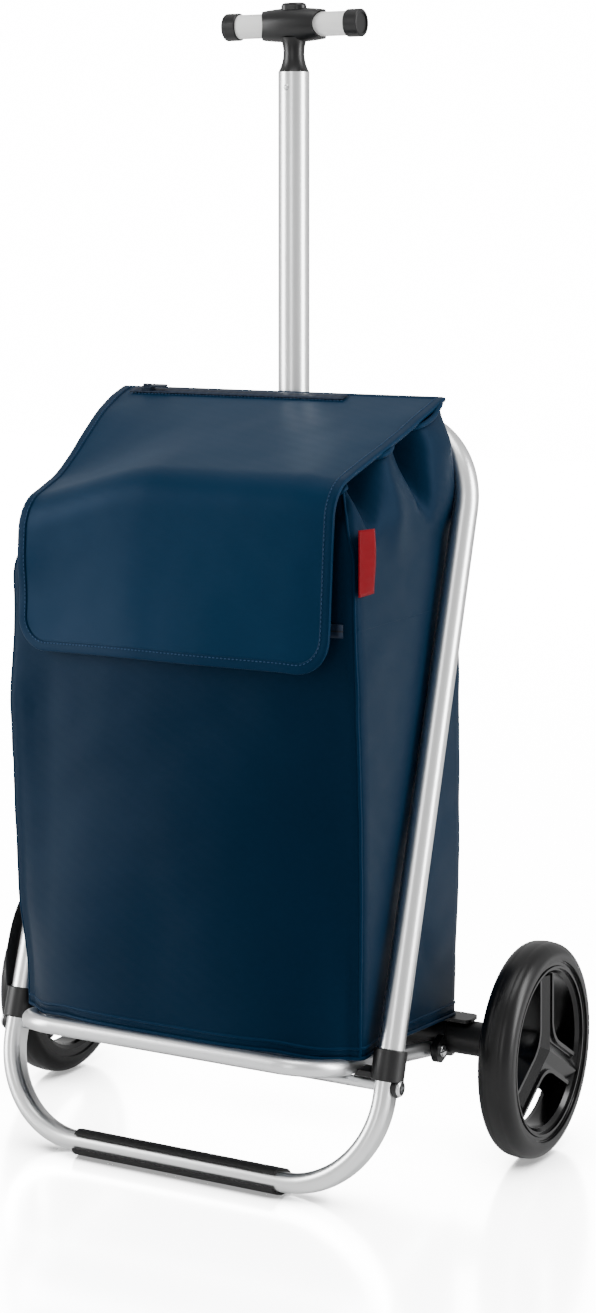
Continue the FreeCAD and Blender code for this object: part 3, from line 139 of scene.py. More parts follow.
floor_mesh = bpy.data.meshes.new("studio_floor")
floor_bm = bmesh.new()
bmesh.ops.create_grid(floor_bm, x_segments=2, y_segments=2, size=6.0)
floor_bm.to_mesh(floor_mesh)
floor_bm.free()
floor_mesh.materials.append(sweep)
floor = bpy.data.objects.new("studio_floor", floor_mesh)
bpy.context.scene.collection.objects.link(floor)


def soft_box(name, where, target, size, power):
    """A flat light of the given width and height in metres and power in watts, facing its target."""
    data = bpy.data.lights.new(name, "AREA")
    data.shape = "RECTANGLE"
    data.size = size[0]
    data.size_y = size[1]
    data.energy = power
    light = bpy.data.objects.new(name, data)
    light.location = where
    light.rotation_euler = (Vector(target) - Vector(where)).to_track_quat("-Z", "Y").to_euler()
    bpy.context.scene.collection.objects.link(light)


soft_box("soft_box_left", (-2.3, -1.5, 1.2), (0, 0, 0.5), (1.3, 2.2), 95)
soft_box("soft_box_right", (2.3, 0.5, 1.2), (0, 0, 0.5), (0.9, 2.2), 85)
soft_box("soft_box_front", (0.5, -3.2, 1.3), (0, 0, 0.5), (0.5, 2.2), 16)
soft_box("soft_box_top", (0.2, -0.3, 2.8), (0, 0, 0.4), (1.4, 1.4), 30)


def dress(names, finish):
    """Gives CAD nodes a finish through their own material slots."""
    for name in names:
        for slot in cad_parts[name].material_slots:
            slot.link = "OBJECT"
            slot.material = finish


# ---- wheels ----
# Two 180 mm wheels: a black rubber tyre pressed over a three-armed moulded rim, free on a steel axle.
def moulded(name, colour, roughness, grain_mm, grain_depth_mm, patch=0.04, level=0.4):
    """Moulded plastic, rubber or coating: a fine grain and slightly uneven gloss."""
    made, tree, shader = material(name)
    shader.inputs["Base Color"].default_value = linear(colour)
    shader.inputs["Roughness"].default_value = roughness
    shader.inputs["Specular IOR Level"].default_value = level
    place = node(tree, "ShaderNodeTexCoord")
    grain = node(tree, "ShaderNodeTexNoise", {"Scale": 1000.0 / grain_mm, "Detail": 3.0},
                 {"Vector": place.outputs["Object"]})
    bump = node(tree, "ShaderNodeBump", {"Strength": 0.35, "Distance": grain_depth_mm / 1000.0},
                {"Height": grain.outputs["Fac"]})
    cloud = node(tree, "ShaderNodeTexNoise", {"Scale": 22.0, "Detail": 4.0}, {"Vector": place.outputs["Object"]})
    gloss = node(tree, "ShaderNodeMapRange", {"To Min": roughness - patch, "To Max": roughness + patch},
                 {"Value": cloud.outputs["Fac"]})
    tree.links.new(gloss.outputs[0], shader.inputs["Roughness"])
    tree.links.new(bump.outputs["Normal"], shader.inputs["Normal"])
    return made


# Vulcanised rubber from a smooth mould: nearly black, with a satin highlight along the tread.
tyre_rubber = moulded("vulcanised_rubber_tyre", "#050506", 0.33, 1.1, 0.03, 0.06, 0.32)
# Polypropylene from a polished mould: black with a clear highlight.
rim_plastic = moulded("polypropylene_gloss_moulded", "#040405", 0.2, 1.4, 0.02, 0.05, 0.34)
dress(["tyre_left", "tyre_right"], tyre_rubber)
dress(["rim_left", "rim_right"], rim_plastic)


# ---- axle and ledge ----
# A black steel cross tube with a ledge under the bag. The zinc-plated axle runs through it in nylon bushes.
def metal(name, colour, roughness, rough_spread, streak_scale, turn=(0, 0, 0)):
    """Metal with fine lines along its drawing direction, the smallest of the three streak scales."""
    made, tree, shader = material(name)
    shader.inputs["Base Color"].default_value = linear(colour)
    shader.inputs["Metallic"].default_value = 1.0
    shader.inputs["Roughness"].default_value = roughness
    place = node(tree, "ShaderNodeTexCoord")
    turned = node(tree, "ShaderNodeMapping", {"Rotation": turn, "Scale": streak_scale},
                  {"Vector": place.outputs["Object"]})
    streak = node(tree, "ShaderNodeTexNoise", {"Scale": 1.0, "Detail": 4.0, "Roughness": 0.6},
                  {"Vector": turned.outputs[0]})
    gloss = node(tree, "ShaderNodeMapRange", {"To Min": roughness - rough_spread, "To Max": roughness + rough_spread},
                 {"Value": streak.outputs["Fac"]})
    bump = node(tree, "ShaderNodeBump", {"Strength": 0.12, "Distance": 0.0001}, {"Height": streak.outputs["Fac"]})
    tree.links.new(gloss.outputs[0], shader.inputs["Roughness"])
    tree.links.new(bump.outputs["Normal"], shader.inputs["Normal"])
    return made


# Powder coat on steel: black, a slight orange peel.
powder_coat = moulded("powder_coat_black", "#0b0b0c", 0.38, 1.8, 0.06)
# Bright zinc on steel.
zinc = metal("zinc_plated_steel", "#c4c7ca", 0.3, 0.06, (900, 900, 900))
# Moulded nylon: satin black.
nylon = moulded("nylon_satin_moulded", "#09090a", 0.4, 0.9, 0.03)
dress(["axle_housing", "ledge_plate"], powder_coat)
dress(["axle", "axle_washer_left", "axle_washer_right", "push_rod"], zinc)
dress(["axle_bush_left", "axle_bush_right", "ring_ear_left", "ring_ear_right", "mast_foot", "glide_plug"], nylon)


# ---- mast, frame and platform tubes ----
# Drawn aluminium tube, satin anodised: fine lines run along each tube.
LINES_UPRIGHT, LINES_LEVEL = (1400, 1400, 16), (1400, 16, 1400)
FRAME_LEAN = math.radians(18.0)
mast_tube = metal("anodised_aluminium_mast", "#eceded", 0.3, 0.05, LINES_UPRIGHT)
frame_tube = metal("anodised_aluminium_frame", "#eceded", 0.3, 0.05, LINES_UPRIGHT, (FRAME_LEAN, 0, 0))
ring_tube = metal("anodised_aluminium_ring", "#e4e5e6", 0.34, 0.05, LINES_LEVEL)
dress(["outer_tube", "inner_tube"], mast_tube)
dress(["side_tube_left", "side_tube_right", "foot_loop"], frame_tube)
dress(["platform_ring", "cross_bar"], ring_tube)
dress(["tube_collar", "head_bracket", "clamp_left", "clamp_right"], nylon)
# Pan-head screws and the screw in the mast's neck, polished nickel plate.
nickel = metal("nickel_plated_polished", "#d9dadb", 0.16, 0.03, (700, 700, 700))
dress(["loop_screw_left", "loop_screw_right", "pivot_screw_left", "pivot_screw_right", "handle_rivet"], nickel)
# Moulded rubber foot and brake pad: matt.
foot_rubber = moulded("moulded_rubber_matt", "#0b0b0c", 0.62, 0.8, 0.05)
dress(["foot_pad", "brake_shoe"], foot_rubber)


# ---- handle ----
# A moulded T-piece on the inner tube with a release button, white lacquered grip tubes and black end caps.
# Moulded ABS: satin black.
abs_satin = moulded("abs_satin_moulded", "#080809", 0.33, 0.8, 0.03)
dress(["handle_body", "push_button", "handle_cap_left", "handle_cap_right"], abs_satin)
# Sprayed lacquer: white, smooth, with a soft gloss.
lacquer = moulded("white_lacquer_on_tube", "#f3f3f1", 0.26, 2.5, 0.03)
dress(["handle_tube_left", "handle_tube_right"], lacquer)


# ---- bag ----
# Coated navy twill sewn as a box with its front swelling forward between the tubes: piping at the
# front corners, a double piping round the foot, gathered under the flap at the sides.
# Millimetres, Y from the trolley's middle towards the back, where the mast stands.
MAST_Y = 76.0
BAG_REAR_Y = 58.5
# Levels of the bag: height, half width, front corner before the mast, how far the front swells, rear before the mast
BAG_SHAPE = [(96.3, 164.6, 183.0, 43.0, 2.0), (133.5, 165.2, 184.0, 41.0, 2.0), (223.5, 167.0, 187.0, 36.0, 2.0),
             (331.0, 169.0, 192.0, 28.0, 2.0), (411.0, 168.8, 197.0, 18.0, 4.0), (481.0, 168.4, 200.0, 12.0, 12.0),
             (546.0, 166.7, 199.0, 13.0, 19.0), (596.0, 162.7, 197.0, 12.0, 19.5), (655.0, 158.2, 194.0, 10.0, 19.5)]
# Columns of cloth in each side, rounded corner and broad panel, and rows from the foot to the mouth.
SIDE, CORNER, FRONT = 34, 4, 62
COLUMNS = 2 * (SIDE + FRONT) + 4 * CORNER
ROWS = 90
CORNER_R = 10.0
CLOTH_T = 2.2
# The rear panel is pressed in along the mast.
RECESS_HALF, RECESS_OUTER = 27.5, 35.0
# The flap's straight top falls this much over this run, and its left edge droops by LEFT_DROOP.
TOP_FALL, TOP_REACH = 60.0, 193.5
LEFT_DROOP = 27.0
HINGE_LINE_Z = 642.0


def smooth(x, low, high):
    """Rises gently from 0 at low to 1 at high."""
    t = min(1.0, max(0.0, (x - low) / (high - low)))
    return t * t * (3 - 2 * t)


def bag_level(z):
    """The bag's outline sizes at one height, smoothly between the levels."""
    i = max(0, min(len(BAG_SHAPE) - 2, sum(1 for level in BAG_SHAPE if level[0] <= z) - 1))
    a, b = BAG_SHAPE[i], BAG_SHAPE[i + 1]
    before = BAG_SHAPE[max(0, i - 1)]
    after = BAG_SHAPE[min(len(BAG_SHAPE) - 1, i + 2)]
    t = (z - a[0]) / (b[0] - a[0])
    sizes = []
    for k in range(1, 5):
        leaving = (b[k] - before[k]) / 2
        arriving = (after[k] - a[k]) / 2
        sizes.append((2 * t ** 3 - 3 * t ** 2 + 1) * a[k] + (t ** 3 - 2 * t ** 2 + t) * leaving
                     + (3 * t ** 2 - 2 * t ** 3) * b[k] + (t ** 3 - t ** 2) * arriving)
    return sizes


def bag_outline(column, z):
    """Where one column of the bag's cloth lies, seen from above, at one height."""
    half, front, swell, rear = bag_level(z)
    y0, y1 = MAST_Y - front, MAST_Y - rear
    r = CORNER_R
    # The front's swell is rounder above and flatter in the middle near the foot.
    flat = 2.0 + 1.8 * (1 - smooth(z, 120.0, 330.0))
    quarter = math.pi / 2
    runs = [(SIDE, lambda f: (half, y1 - r + (y0 + r - (y1 - r)) * f)),
            (CORNER, lambda f: (half - r + r * math.cos(f * quarter), y0 + r - r * math.sin(f * quarter))),
            (FRONT, lambda f: ((half - r) * (1 - 2 * f), y0 - swell * (1 - abs(1 - 2 * f) ** flat))),
            (CORNER, lambda f: (r - half - r * math.sin(f * quarter), y0 + r - r * math.cos(f * quarter))),
            (SIDE, lambda f: (-half, y0 + r + (y1 - r - (y0 + r)) * f)),
            (CORNER, lambda f: (r - half - r * math.cos(f * quarter), y1 - r + r * math.sin(f * quarter))),
            (FRONT, lambda f: ((half - r) * (2 * f - 1), y1)),
            (CORNER, lambda f: (half - r + r * math.sin(f * quarter), y1 - r + r * math.cos(f * quarter)))]
    column %= COLUMNS
    for count, place in runs:
        if column < count:
            x, y = place(column / count)
            break
        column -= count
    # The left front corner stands a little fuller at half height.
    fuller = (smooth(-x, 120.0, 165.0) * smooth(-y, 60.0, 105.0)
              * smooth(z, 140.0, 220.0) * (1 - smooth(z, 380.0, 460.0)))
    x, y = x - 2.0 * fuller, y - 6.0 * fuller
    recess = 1 - smooth(abs(x), RECESS_HALF, RECESS_OUTER)
    return x, y + (min(y, BAG_REAR_Y) - y) * recess


def flap_line(y):
    """Height of the flap's straight top between the hinge and the knee."""
    return HINGE_LINE_Z + (y - BAG_REAR_Y) * TOP_FALL / TOP_REACH


def droop(x, y):
    """How far the flap's left edge hangs lower than the rest."""
    return LEFT_DROOP * smooth(-x, 20.0, 172.0) * smooth(-y, -52.0, 60.0)


def bag_foot(y):
    """Height of the bag's foot, which rests on the platform ring and slopes down towards the ledge."""
    front_z, rear_z = 124.5, 108.3
    return front_z + (rear_z - front_z) * (y + 151.0) / 225.0


def bag_top(x, y):
    """Height of the bag's mouth: close under the flap, up to the hinge behind and lower at the knee."""
    return flap_line(y) - 5.5 + 5.0 * smooth(y, 30.0, 56.0) - 7.0 * smooth(-y, 100.0, 130.0) - 1.05 * droop(x, y)


def bag_point(column, row):
    """Where the cloth lies before its folds, drawn in under the flap at the sides and the front."""
    v = row / ROWS
    z = 350.0
    for _ in range(4):
        x, y = bag_outline(column, z)
        top = bag_top(x, y)
        z = bag_foot(y) + (top - bag_foot(y)) * v
    tuck = smooth(z, top - 58.0, top + 4.0) * (1.5 + 15.5 * smooth(-y, -40.0, 90.0))
    x -= math.copysign(tuck * smooth(abs(x), 110.0, 160.0), x)
    y += 17.0 * smooth(z, top - 42.0, top + 2.0) * smooth(-y, 80.0, 118.0)
    return Vector((x, y, z))


def valley(y, z, top, mid, foot, widths, depth):
    """A gathered fold on the bag's side: a groove that narrows from the flap down to nothing."""
    top_z, mid_z, foot_z = top[1], mid[1], foot[1]
    if z < foot_z:
        return 0.0
    t = min(1.0, (z - foot_z) / (top_z - foot_z))
    centre = foot[0] + (mid[0] - foot[0]) * smooth(z, foot_z, mid_z) + (top[0] - mid[0]) * smooth(z, mid_z, top_z)
    width = widths[1] + (widths[0] - widths[1]) * t
    return depth * smooth(t, 0.0, 0.75) * math.exp(-((y - centre) / width) ** 2)


# The two gathers on each side: places (Y, Z) at the top, middle and foot, widths at top and foot, depth.
GATHERS = [((-71, 612), (-83, 581), (-91, 530), (13, 5), 34.0), ((-14, 634), (-8, 599), (5, 535), (15, 6), 34.0)]


def bag_folds(p):
    """Sculpted moves of the cloth: the gathers with a ridge between, slack over the foot, uneven panels."""
    out = Vector((0, 0, 0))
    side = smooth(abs(p.x), 136.0, 148.0)
    if side > 0:
        grooves = sum(valley(p.y, p.z, *gather) for gather in GATHERS)
        ridge = 8.0 * smooth(p.z, 500.0, 590.0) * math.exp(-((p.y + 50) / 16.0) ** 2)
        full = 8.0 * smooth(p.y, -20.0, 40.0) * smooth(p.z, 520.0, 570.0) * (1 - smooth(p.z, 602.0, 636.0))
        out.x += math.copysign(side, p.x) * (ridge + full - grooves)
    # The foot's front corners hang a little over the ring.
    out.z -= 5.0 * smooth(abs(p.x), 96.0, 140.0) * smooth(-p.y, 60.0, 110.0) * (1 - smooth(p.z, 128.0, 160.0))
    # Slow and quick unevenness, none where the zip is sewn on.
    slow = noise.noise(Vector((p.x, p.y, p.z)) / 95.0)
    quick = noise.noise(Vector((p.x + 400, p.y, p.z * 1.4)) / 38.0)
    free = smooth(p.z, 125.0, 175.0) * (1 - smooth(p.z, 440.0, 462.0) * (1 - smooth(p.z, 470.0, 492.0)))
    push = (2.2 * slow + 0.7 * quick) * free
    if abs(p.x) > 150:
        out.x += math.copysign(push, p.x) * side
    elif p.y < 0:
        out.y -= push
    return out


def shown_object(name, mesh, finish):
    """Puts a mesh in the scene, smooth-shaded, in one finish."""
    mesh.materials.append(finish)
    for face in mesh.polygons:
        face.use_smooth = True
    made = bpy.data.objects.new(name, mesh)
    bpy.context.scene.collection.objects.link(made)
    return made


def mesh_piece(name, bm, finish):
    """Makes a smooth-shaded object from a bmesh in millimetres."""
    bmesh.ops.scale(bm, vec=(0.001, 0.001, 0.001), verts=bm.verts)
    mesh = bpy.data.meshes.new(name)
    bm.to_mesh(mesh)
    bm.free()
    return shown_object(name, mesh, finish)


def wall(piece, thickness_mm, offset):
    """Gives a sheet its thickness: inwards at offset -1, outwards at 1."""
    solid = piece.modifiers.new("wall", "SOLIDIFY")
    solid.thickness = thickness_mm / 1000.0
    solid.offset = offset
    solid.use_even_offset = True


def wave_scale(radian_mm):
    """A wave texture's scale at which its wave turns by one radian in so many millimetres along an axis."""
    return 1000.0 / radian_mm / 20.0


def woven(name, colour, radian_mm, depth_mm, roughness, turn):
    """Coated twill: shallow diagonal ribs, a fine grain, a slow change of shade, a slight bluish sheen."""
    made, tree, shader = material(name)
    shader.inputs["Roughness"].default_value = roughness
    shader.inputs["Sheen Weight"].default_value = 0.04
    shader.inputs["Sheen Roughness"].default_value = 0.3
    shader.inputs["Sheen Tint"].default_value = linear("#5f86b0")
    shader.inputs["Specular IOR Level"].default_value = 0.2
    shader.inputs["Specular Tint"].default_value = linear("#3f6f9e")
    place = node(tree, "ShaderNodeTexCoord")
    turned = node(tree, "ShaderNodeMapping", {"Rotation": turn}, {"Vector": place.outputs["Object"]})
    ribs = node(tree, "ShaderNodeTexWave",
                {"bands_direction": "DIAGONAL", "Scale": wave_scale(radian_mm), "Distortion": 0.6,
                 "Detail": 2.0, "Detail Scale": 3.0}, {"Vector": turned.outputs[0]})
    threads = node(tree, "ShaderNodeTexNoise", {"Scale": 700.0, "Detail": 3.0}, {"Vector": place.outputs["Object"]})
    both = node(tree, "ShaderNodeMix", {"data_type": "FLOAT", "Factor": 0.5},
                {"A": ribs.outputs["Fac"], "B": threads.outputs["Fac"]})
    bump = node(tree, "ShaderNodeBump", {"Strength": 0.5, "Distance": depth_mm / 1000.0}, {"Height": both.outputs[0]})
    cloud = node(tree, "ShaderNodeTexNoise", {"Scale": 9.0, "Detail": 5.0, "Roughness": 0.6},
                 {"Vector": place.outputs["Object"]})
    shade = node(tree, "ShaderNodeMapRange", {"To Min": 0.86, "To Max": 1.14}, {"Value": cloud.outputs["Fac"]})
    tint = node(tree, "ShaderNodeVectorMath", {"operation": "SCALE", 0: linear(colour)[:3]},
                {"Scale": shade.outputs[0]})
    tree.links.new(tint.outputs[0], shader.inputs["Base Color"])
    tree.links.new(bump.outputs["Normal"], shader.inputs["Normal"])
    return made


# Polyester twill with a coated back: deep navy, satin. Its ribs lie about 9 mm apart, far coarser than
# real ones.
TWILL_TURN = (0.3, 0.5, 0.7)
navy_twill = woven("polyester_twill_navy", "#03192b", 1.3, 0.16, 0.5, TWILL_TURN)

bag_bm = bmesh.new()
bmesh.ops.create_grid(bag_bm, x_segments=COLUMNS, y_segments=ROWS, size=0.5)
for v in bag_bm.verts:
    v.co = bag_point(round((v.co.x + 0.5) * COLUMNS), round((v.co.y + 0.5) * ROWS))
bmesh.ops.remove_doubles(bag_bm, verts=bag_bm.verts, dist=0.05)
for v in bag_bm.verts:
    v.co += bag_folds(v.co)
foot_edges = [e for e in bag_bm.edges if e.is_boundary and max(v.co.z for v in e.verts) < 200]
# The bottom: rings of cloth shrinking towards the middle, sagging inside the platform ring's inner width.
for shrink in (0.985, 0.97, 0.95, 0.9, 0.85, 0.8, 0.7, 0.5):
    grown = bmesh.ops.extrude_edge_only(bag_bm, edges=foot_edges)["geom"]
    ring = [g for g in grown if isinstance(g, bmesh.types.BMVert)]
    foot_edges = [g for g in grown if isinstance(g, bmesh.types.BMEdge)]
    centre = Vector((0, -38, bag_foot(-38)))
    for v in ring:
        v.co = centre + (v.co - centre) * shrink
        v.co.z = bag_foot(v.co.y) - 9.0 * smooth(138 - abs(v.co.x), 0.0, 9.0) * smooth(v.co.y, -140.0, -131.0)
bmesh.ops.edgeloop_fill(bag_bm, edges=foot_edges)
bmesh.ops.recalc_face_normals(bag_bm, faces=bag_bm.faces)


# The cloth is one piece on the real bag. Here it is cut level with the pocket zip, because only the part
# below crumples when the trolley folds.
ZIP_Z = 466.0


def slice_bm(bm, place, normal, **clear):
    """Adds an edge loop where a plane cuts the mesh, or clears one side of it."""
    bmesh.ops.bisect_plane(bm, geom=bm.verts[:] + bm.edges[:] + bm.faces[:], dist=0.01,
                           plane_co=place, plane_no=normal, **clear)


def cut_at_zip(name, bm, finish):
    """The lower and the upper part of a piece, with a narrow row beside the cut so that it doesn't show."""
    parts = []
    for beside in (-0.2, 0.2):
        slice_bm(bm, (0, 0, ZIP_Z + beside), (0, 0, 1))
    for part, below in (("lower", True), ("upper", False)):
        half_bm = bm.copy()
        slice_bm(half_bm, (0, 0, ZIP_Z), (0, 0, 1), clear_outer=below, clear_inner=not below)
        parts.append(mesh_piece(name + "_" + part, half_bm, finish))
    bm.free()
    return parts


bag_lower, bag_upper = cut_at_zip("bag", bag_bm, navy_twill)
wall(bag_lower, CLOTH_T, -1.0)
wall(bag_upper, CLOTH_T, -1.0)


def cord_along(name, points, radius_mm, finish, closed=False):
    """A round welt or roll laid along a line of points in millimetres."""
    data = bpy.data.curves.new(name, "CURVE")
    data.dimensions = "3D"
    data.bevel_depth = radius_mm / 1000.0
    data.bevel_resolution = 3
    data.use_fill_caps = not closed
    spline = data.splines.new("POLY")
    spline.points.add(len(points) - 1)
    for place, point in zip(spline.points, points):
        place.co = (*(point / 1000.0), 1.0)
    spline.use_cyclic_u = closed
    carrier = bpy.data.objects.new(name, data)
    mesh = bpy.data.meshes.new_from_object(carrier)
    bpy.data.objects.remove(carrier)
    return shown_object(name, mesh, finish)


def on_bag(column, row, out):
    """A place on the finished cloth, so far outside it."""
    p = bag_point(column, row)
    p = p + bag_folds(p)
    q = bag_point(column + 1, row)
    along = (q - bag_point(column - 1, row)).normalized()
    return p + Vector((-along.y, along.x, 0)) * -out


# Bias-cut piping in the same cloth over a cord, about 3 mm across.
piping_cloth = woven("polyester_bias_piping_navy", "#031e33", 1.0, 0.15, 0.5, TWILL_TURN)
crumpling, steady = [bag_lower], [bag_upper]
for name, row, out, radius in (("bag_foot_piping", 0, 0.6, 1.7), ("bag_foot_piping_upper", 1.6, 0.5, 1.4)):
    crumpling.append(cord_along(name, [on_bag(c, row, out) for c in range(COLUMNS)], radius, piping_cloth, True))
for side_name, column in (("right", SIDE + CORNER // 2), ("left", SIDE + CORNER + FRONT + CORNER // 2)):
    line = [on_bag(column, row, 0.7) for row in range(ROWS + 1)]
    whole = cord_along("bag_corner_piping", line, 1.5, piping_cloth)
    welt = bmesh.new()
    welt.from_mesh(whole.data)
    bmesh.ops.scale(welt, vec=(1000, 1000, 1000), verts=welt.verts)
    bpy.data.objects.remove(whole)
    lower, upper = cut_at_zip("bag_corner_piping_" + side_name, welt, piping_cloth)
    crumpling.append(lower)
    steady.append(upper)
mouth = [on_bag(c, ROWS, -1.0) for c in range(COLUMNS)]
steady.append(cord_along("bag_mouth_binding", mouth, 2.4, piping_cloth, True))
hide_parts("bag_shell")
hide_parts("bag_shell")


# ---- pocket zip ----
# A reverse coil zip across the bag's front behind the flap's hem: two polyester tapes that meet over the coil.
COIL_RADIAN = 1.4
ZIP_TAPE_WIDTH, ZIP_TAPE_T = 11.0, 0.9


def coil_zip(name, colour):
    """Zip tape: shallow ribs across it and a painted shade line down its middle, at the slit where the two tapes meet,
    both read from its UV map.
    """
    made, tree, shader = material(name)
    shader.inputs["Roughness"].default_value = 0.55
    shader.inputs["Specular IOR Level"].default_value = 0.2
    place = node(tree, "ShaderNodeUVMap")
    split = node(tree, "ShaderNodeSeparateXYZ", None, {0: place.outputs[0]})
    coils = node(tree, "ShaderNodeTexWave", {"bands_direction": "X", "Scale": wave_scale(COIL_RADIAN)},
                 {"Vector": place.outputs[0]})
    offset = node(tree, "ShaderNodeMath", {"operation": "SUBTRACT", 1: 0.5}, {0: split.outputs["Y"]})
    away = node(tree, "ShaderNodeMath", {"operation": "ABSOLUTE"}, {0: offset.outputs[0]})
    seam = node(tree, "ShaderNodeMapRange", {"From Min": 0.02, "From Max": 0.09}, {"Value": away.outputs[0]})
    # Painted shade: near-black down the middle, where the two tapes meet in a slit.
    tint = node(tree, "ShaderNodeMix", {"data_type": "RGBA", "A": linear("#04070b"), "B": linear(colour)},
                {"Factor": seam.outputs[0]})
    bump = node(tree, "ShaderNodeBump", {"Strength": 0.5, "Distance": 0.0004}, {"Height": coils.outputs["Fac"]})
    tree.links.new(tint.outputs["Result"], shader.inputs["Base Color"])
    tree.links.new(bump.outputs["Normal"], shader.inputs["Normal"])
    return made


zip_finish = coil_zip("polyester_coil_zip_navy", "#0b1b2e")


def zip_tape(name, points, normals):
    """A zip laid along a line: a grid whose rows follow the points, slightly crowned."""
    bm = bmesh.new()
    count = len(points) - 1
    bmesh.ops.create_grid(bm, x_segments=count, y_segments=4, size=0.5)
    uv = bm.loops.layers.uv.new("tape")
    for face in bm.faces:
        for loop in face.loops:
            i = round((loop.vert.co.x + 0.5) * count)
            run = sum((points[k + 1] - points[k]).length for k in range(i))
            loop[uv].uv = (run / 1000.0, loop.vert.co.y + 0.5)
    for v in bm.verts:
        i = round((v.co.x + 0.5) * count)
        along = (points[min(count, i + 1)] - points[max(0, i - 1)]).normalized()
        across = normals[i].cross(along).normalized()
        crown = 0.25 * (1 - (2 * v.co.y) ** 2)
        v.co = points[i] + across * (v.co.y * ZIP_TAPE_WIDTH) + normals[i] * crown
    made = mesh_piece(name, bm, zip_finish)
    wall(made, ZIP_TAPE_T, 1.0)
    return made


POCKET_ZIP_HALF = 157.0
zip_points = []
zip_normals = []
half, front, swell = bag_level(ZIP_Z)[:3]
reach = half - CORNER_R
for step in range(61):
    x = POCKET_ZIP_HALF * (step / 30.0 - 1)
    y = MAST_Y - front - swell * (1 - min(1.0, (x / reach) ** 2))
    slope = 2 * swell * x / reach ** 2
    zip_points.append(Vector((x, y - 0.4, ZIP_Z)))
    zip_normals.append(Vector((slope, -1, 0)).normalized())
pocket_zip = zip_tape("pocket_zip", zip_points, zip_normals)
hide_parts("pocket_zip_tape")
steady.append(pocket_zip)
# Both zips' sliders are enamelled zinc, parked at their left ends.
slider_enamel = moulded("enamelled_zinc_slider", "#10202f", 0.35, 0.8, 0.02)
dress(["pocket_zip_slider", "top_zip_slider"], slider_enamel)


# ---- side tag ----
# A short folded ribbon sewn into the right corner seam, plain red, standing a little off the bag's side.
def ribbon(name, colour, radian_mm, roughness, direction):
    """Woven ribbon: ribs across its width."""
    made, tree, shader = material(name)
    shader.inputs["Roughness"].default_value = roughness
    shader.inputs["Specular IOR Level"].default_value = 0.08
    place = node(tree, "ShaderNodeTexCoord")
    ribs = node(tree, "ShaderNodeTexWave",
                {"bands_direction": direction, "Scale": wave_scale(radian_mm), "Distortion": 0.4},
                {"Vector": place.outputs["Object"]})
    bump = node(tree, "ShaderNodeBump", {"Strength": 0.5, "Distance": 0.0002}, {"Height": ribs.outputs["Fac"]})
    cloud = node(tree, "ShaderNodeTexNoise", {"Scale": 60.0, "Detail": 3.0}, {"Vector": place.outputs["Object"]})
    shade = node(tree, "ShaderNodeMapRange", {"To Min": 0.85, "To Max": 1.12}, {"Value": cloud.outputs["Fac"]})
    tint = node(tree, "ShaderNodeVectorMath", {"operation": "SCALE", 0: linear(colour)[:3]},
                {"Scale": shade.outputs[0]})
    tree.links.new(tint.outputs[0], shader.inputs["Base Color"])
    tree.links.new(bump.outputs["Normal"], shader.inputs["Normal"])
    return made


TAG_X, TAG_FORWARD, TAG_T = 170.6, 4.5, 0.9
# Satin ribbon in polyester: deep red, soft ribs.
tag_ribbon = ribbon("satin_ribbon_red", "#6a000c", 1.2, 0.45, "Z")
tag_low, tag_high = [corner * 1000.0 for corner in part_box("corner_tag")]
tag_bm = bmesh.new()
bmesh.ops.create_grid(tag_bm, x_segments=10, y_segments=16, size=0.5)
for v in tag_bm.verts:
    f, g = v.co.x + 0.5, v.co.y
    stand = 2.0 * math.sin(f * math.pi * 0.5) + 0.8 * math.sin(g * 5.0 + 1.0) * f
    v.co = Vector((TAG_X + stand, tag_low.y - TAG_FORWARD + (tag_high.y - tag_low.y) * f,
                   (tag_low.z + tag_high.z) / 2 + (tag_high.z - tag_low.z) * g * (1 - 0.03 * f)))
tag = mesh_piece("side_tag", tag_bm, tag_ribbon)
wall(tag, TAG_T, 0.0)
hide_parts("corner_tag")
steady.append(tag)
# On the real bag the platform lifts the foot as the trolley folds, and the cloth crumples upwards to the pocket zip.
# Here the pieces ride on the chassis, and those below the zip get meshes of their own.
for piece in crumpling + steady:
    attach(piece, "chassis")
for piece in crumpling:
    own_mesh(piece)


# ---- flap ----
# Two layers of the same twill with a bound edge, hinged along the bag's rear edge: it runs forward over
# the knee and hangs down the front, its left edge lower than its right.
FLAP_HALF, FLAP_FRONT_HALF = 164.0, 154.0
FLAP_CORNER_R = 32.0
BINDING = 9.0
# The cloth's way from the hinge: a straight top, the knee's arc, a straight front.
TOP_RUN = 177.5
KNEE_R, KNEE_TURN = 38.0, math.radians(66.7)
KNEE_RUN = KNEE_R * KNEE_TURN
FRONT_RUN = 126.8
FLAP_LENGTH = TOP_RUN + KNEE_RUN + FRONT_RUN
FLAP_T, BINDING_T = 2.4, 4.2
HINGE = Vector((0, BAG_REAR_Y, 644.0))
TOP_WAY = Vector((0, -0.9551, -0.2962))
TOP_INWARD = Vector((0, 0.2962, -0.9551))
FRONT_WAY = Vector((0, -0.1054, -0.9944))


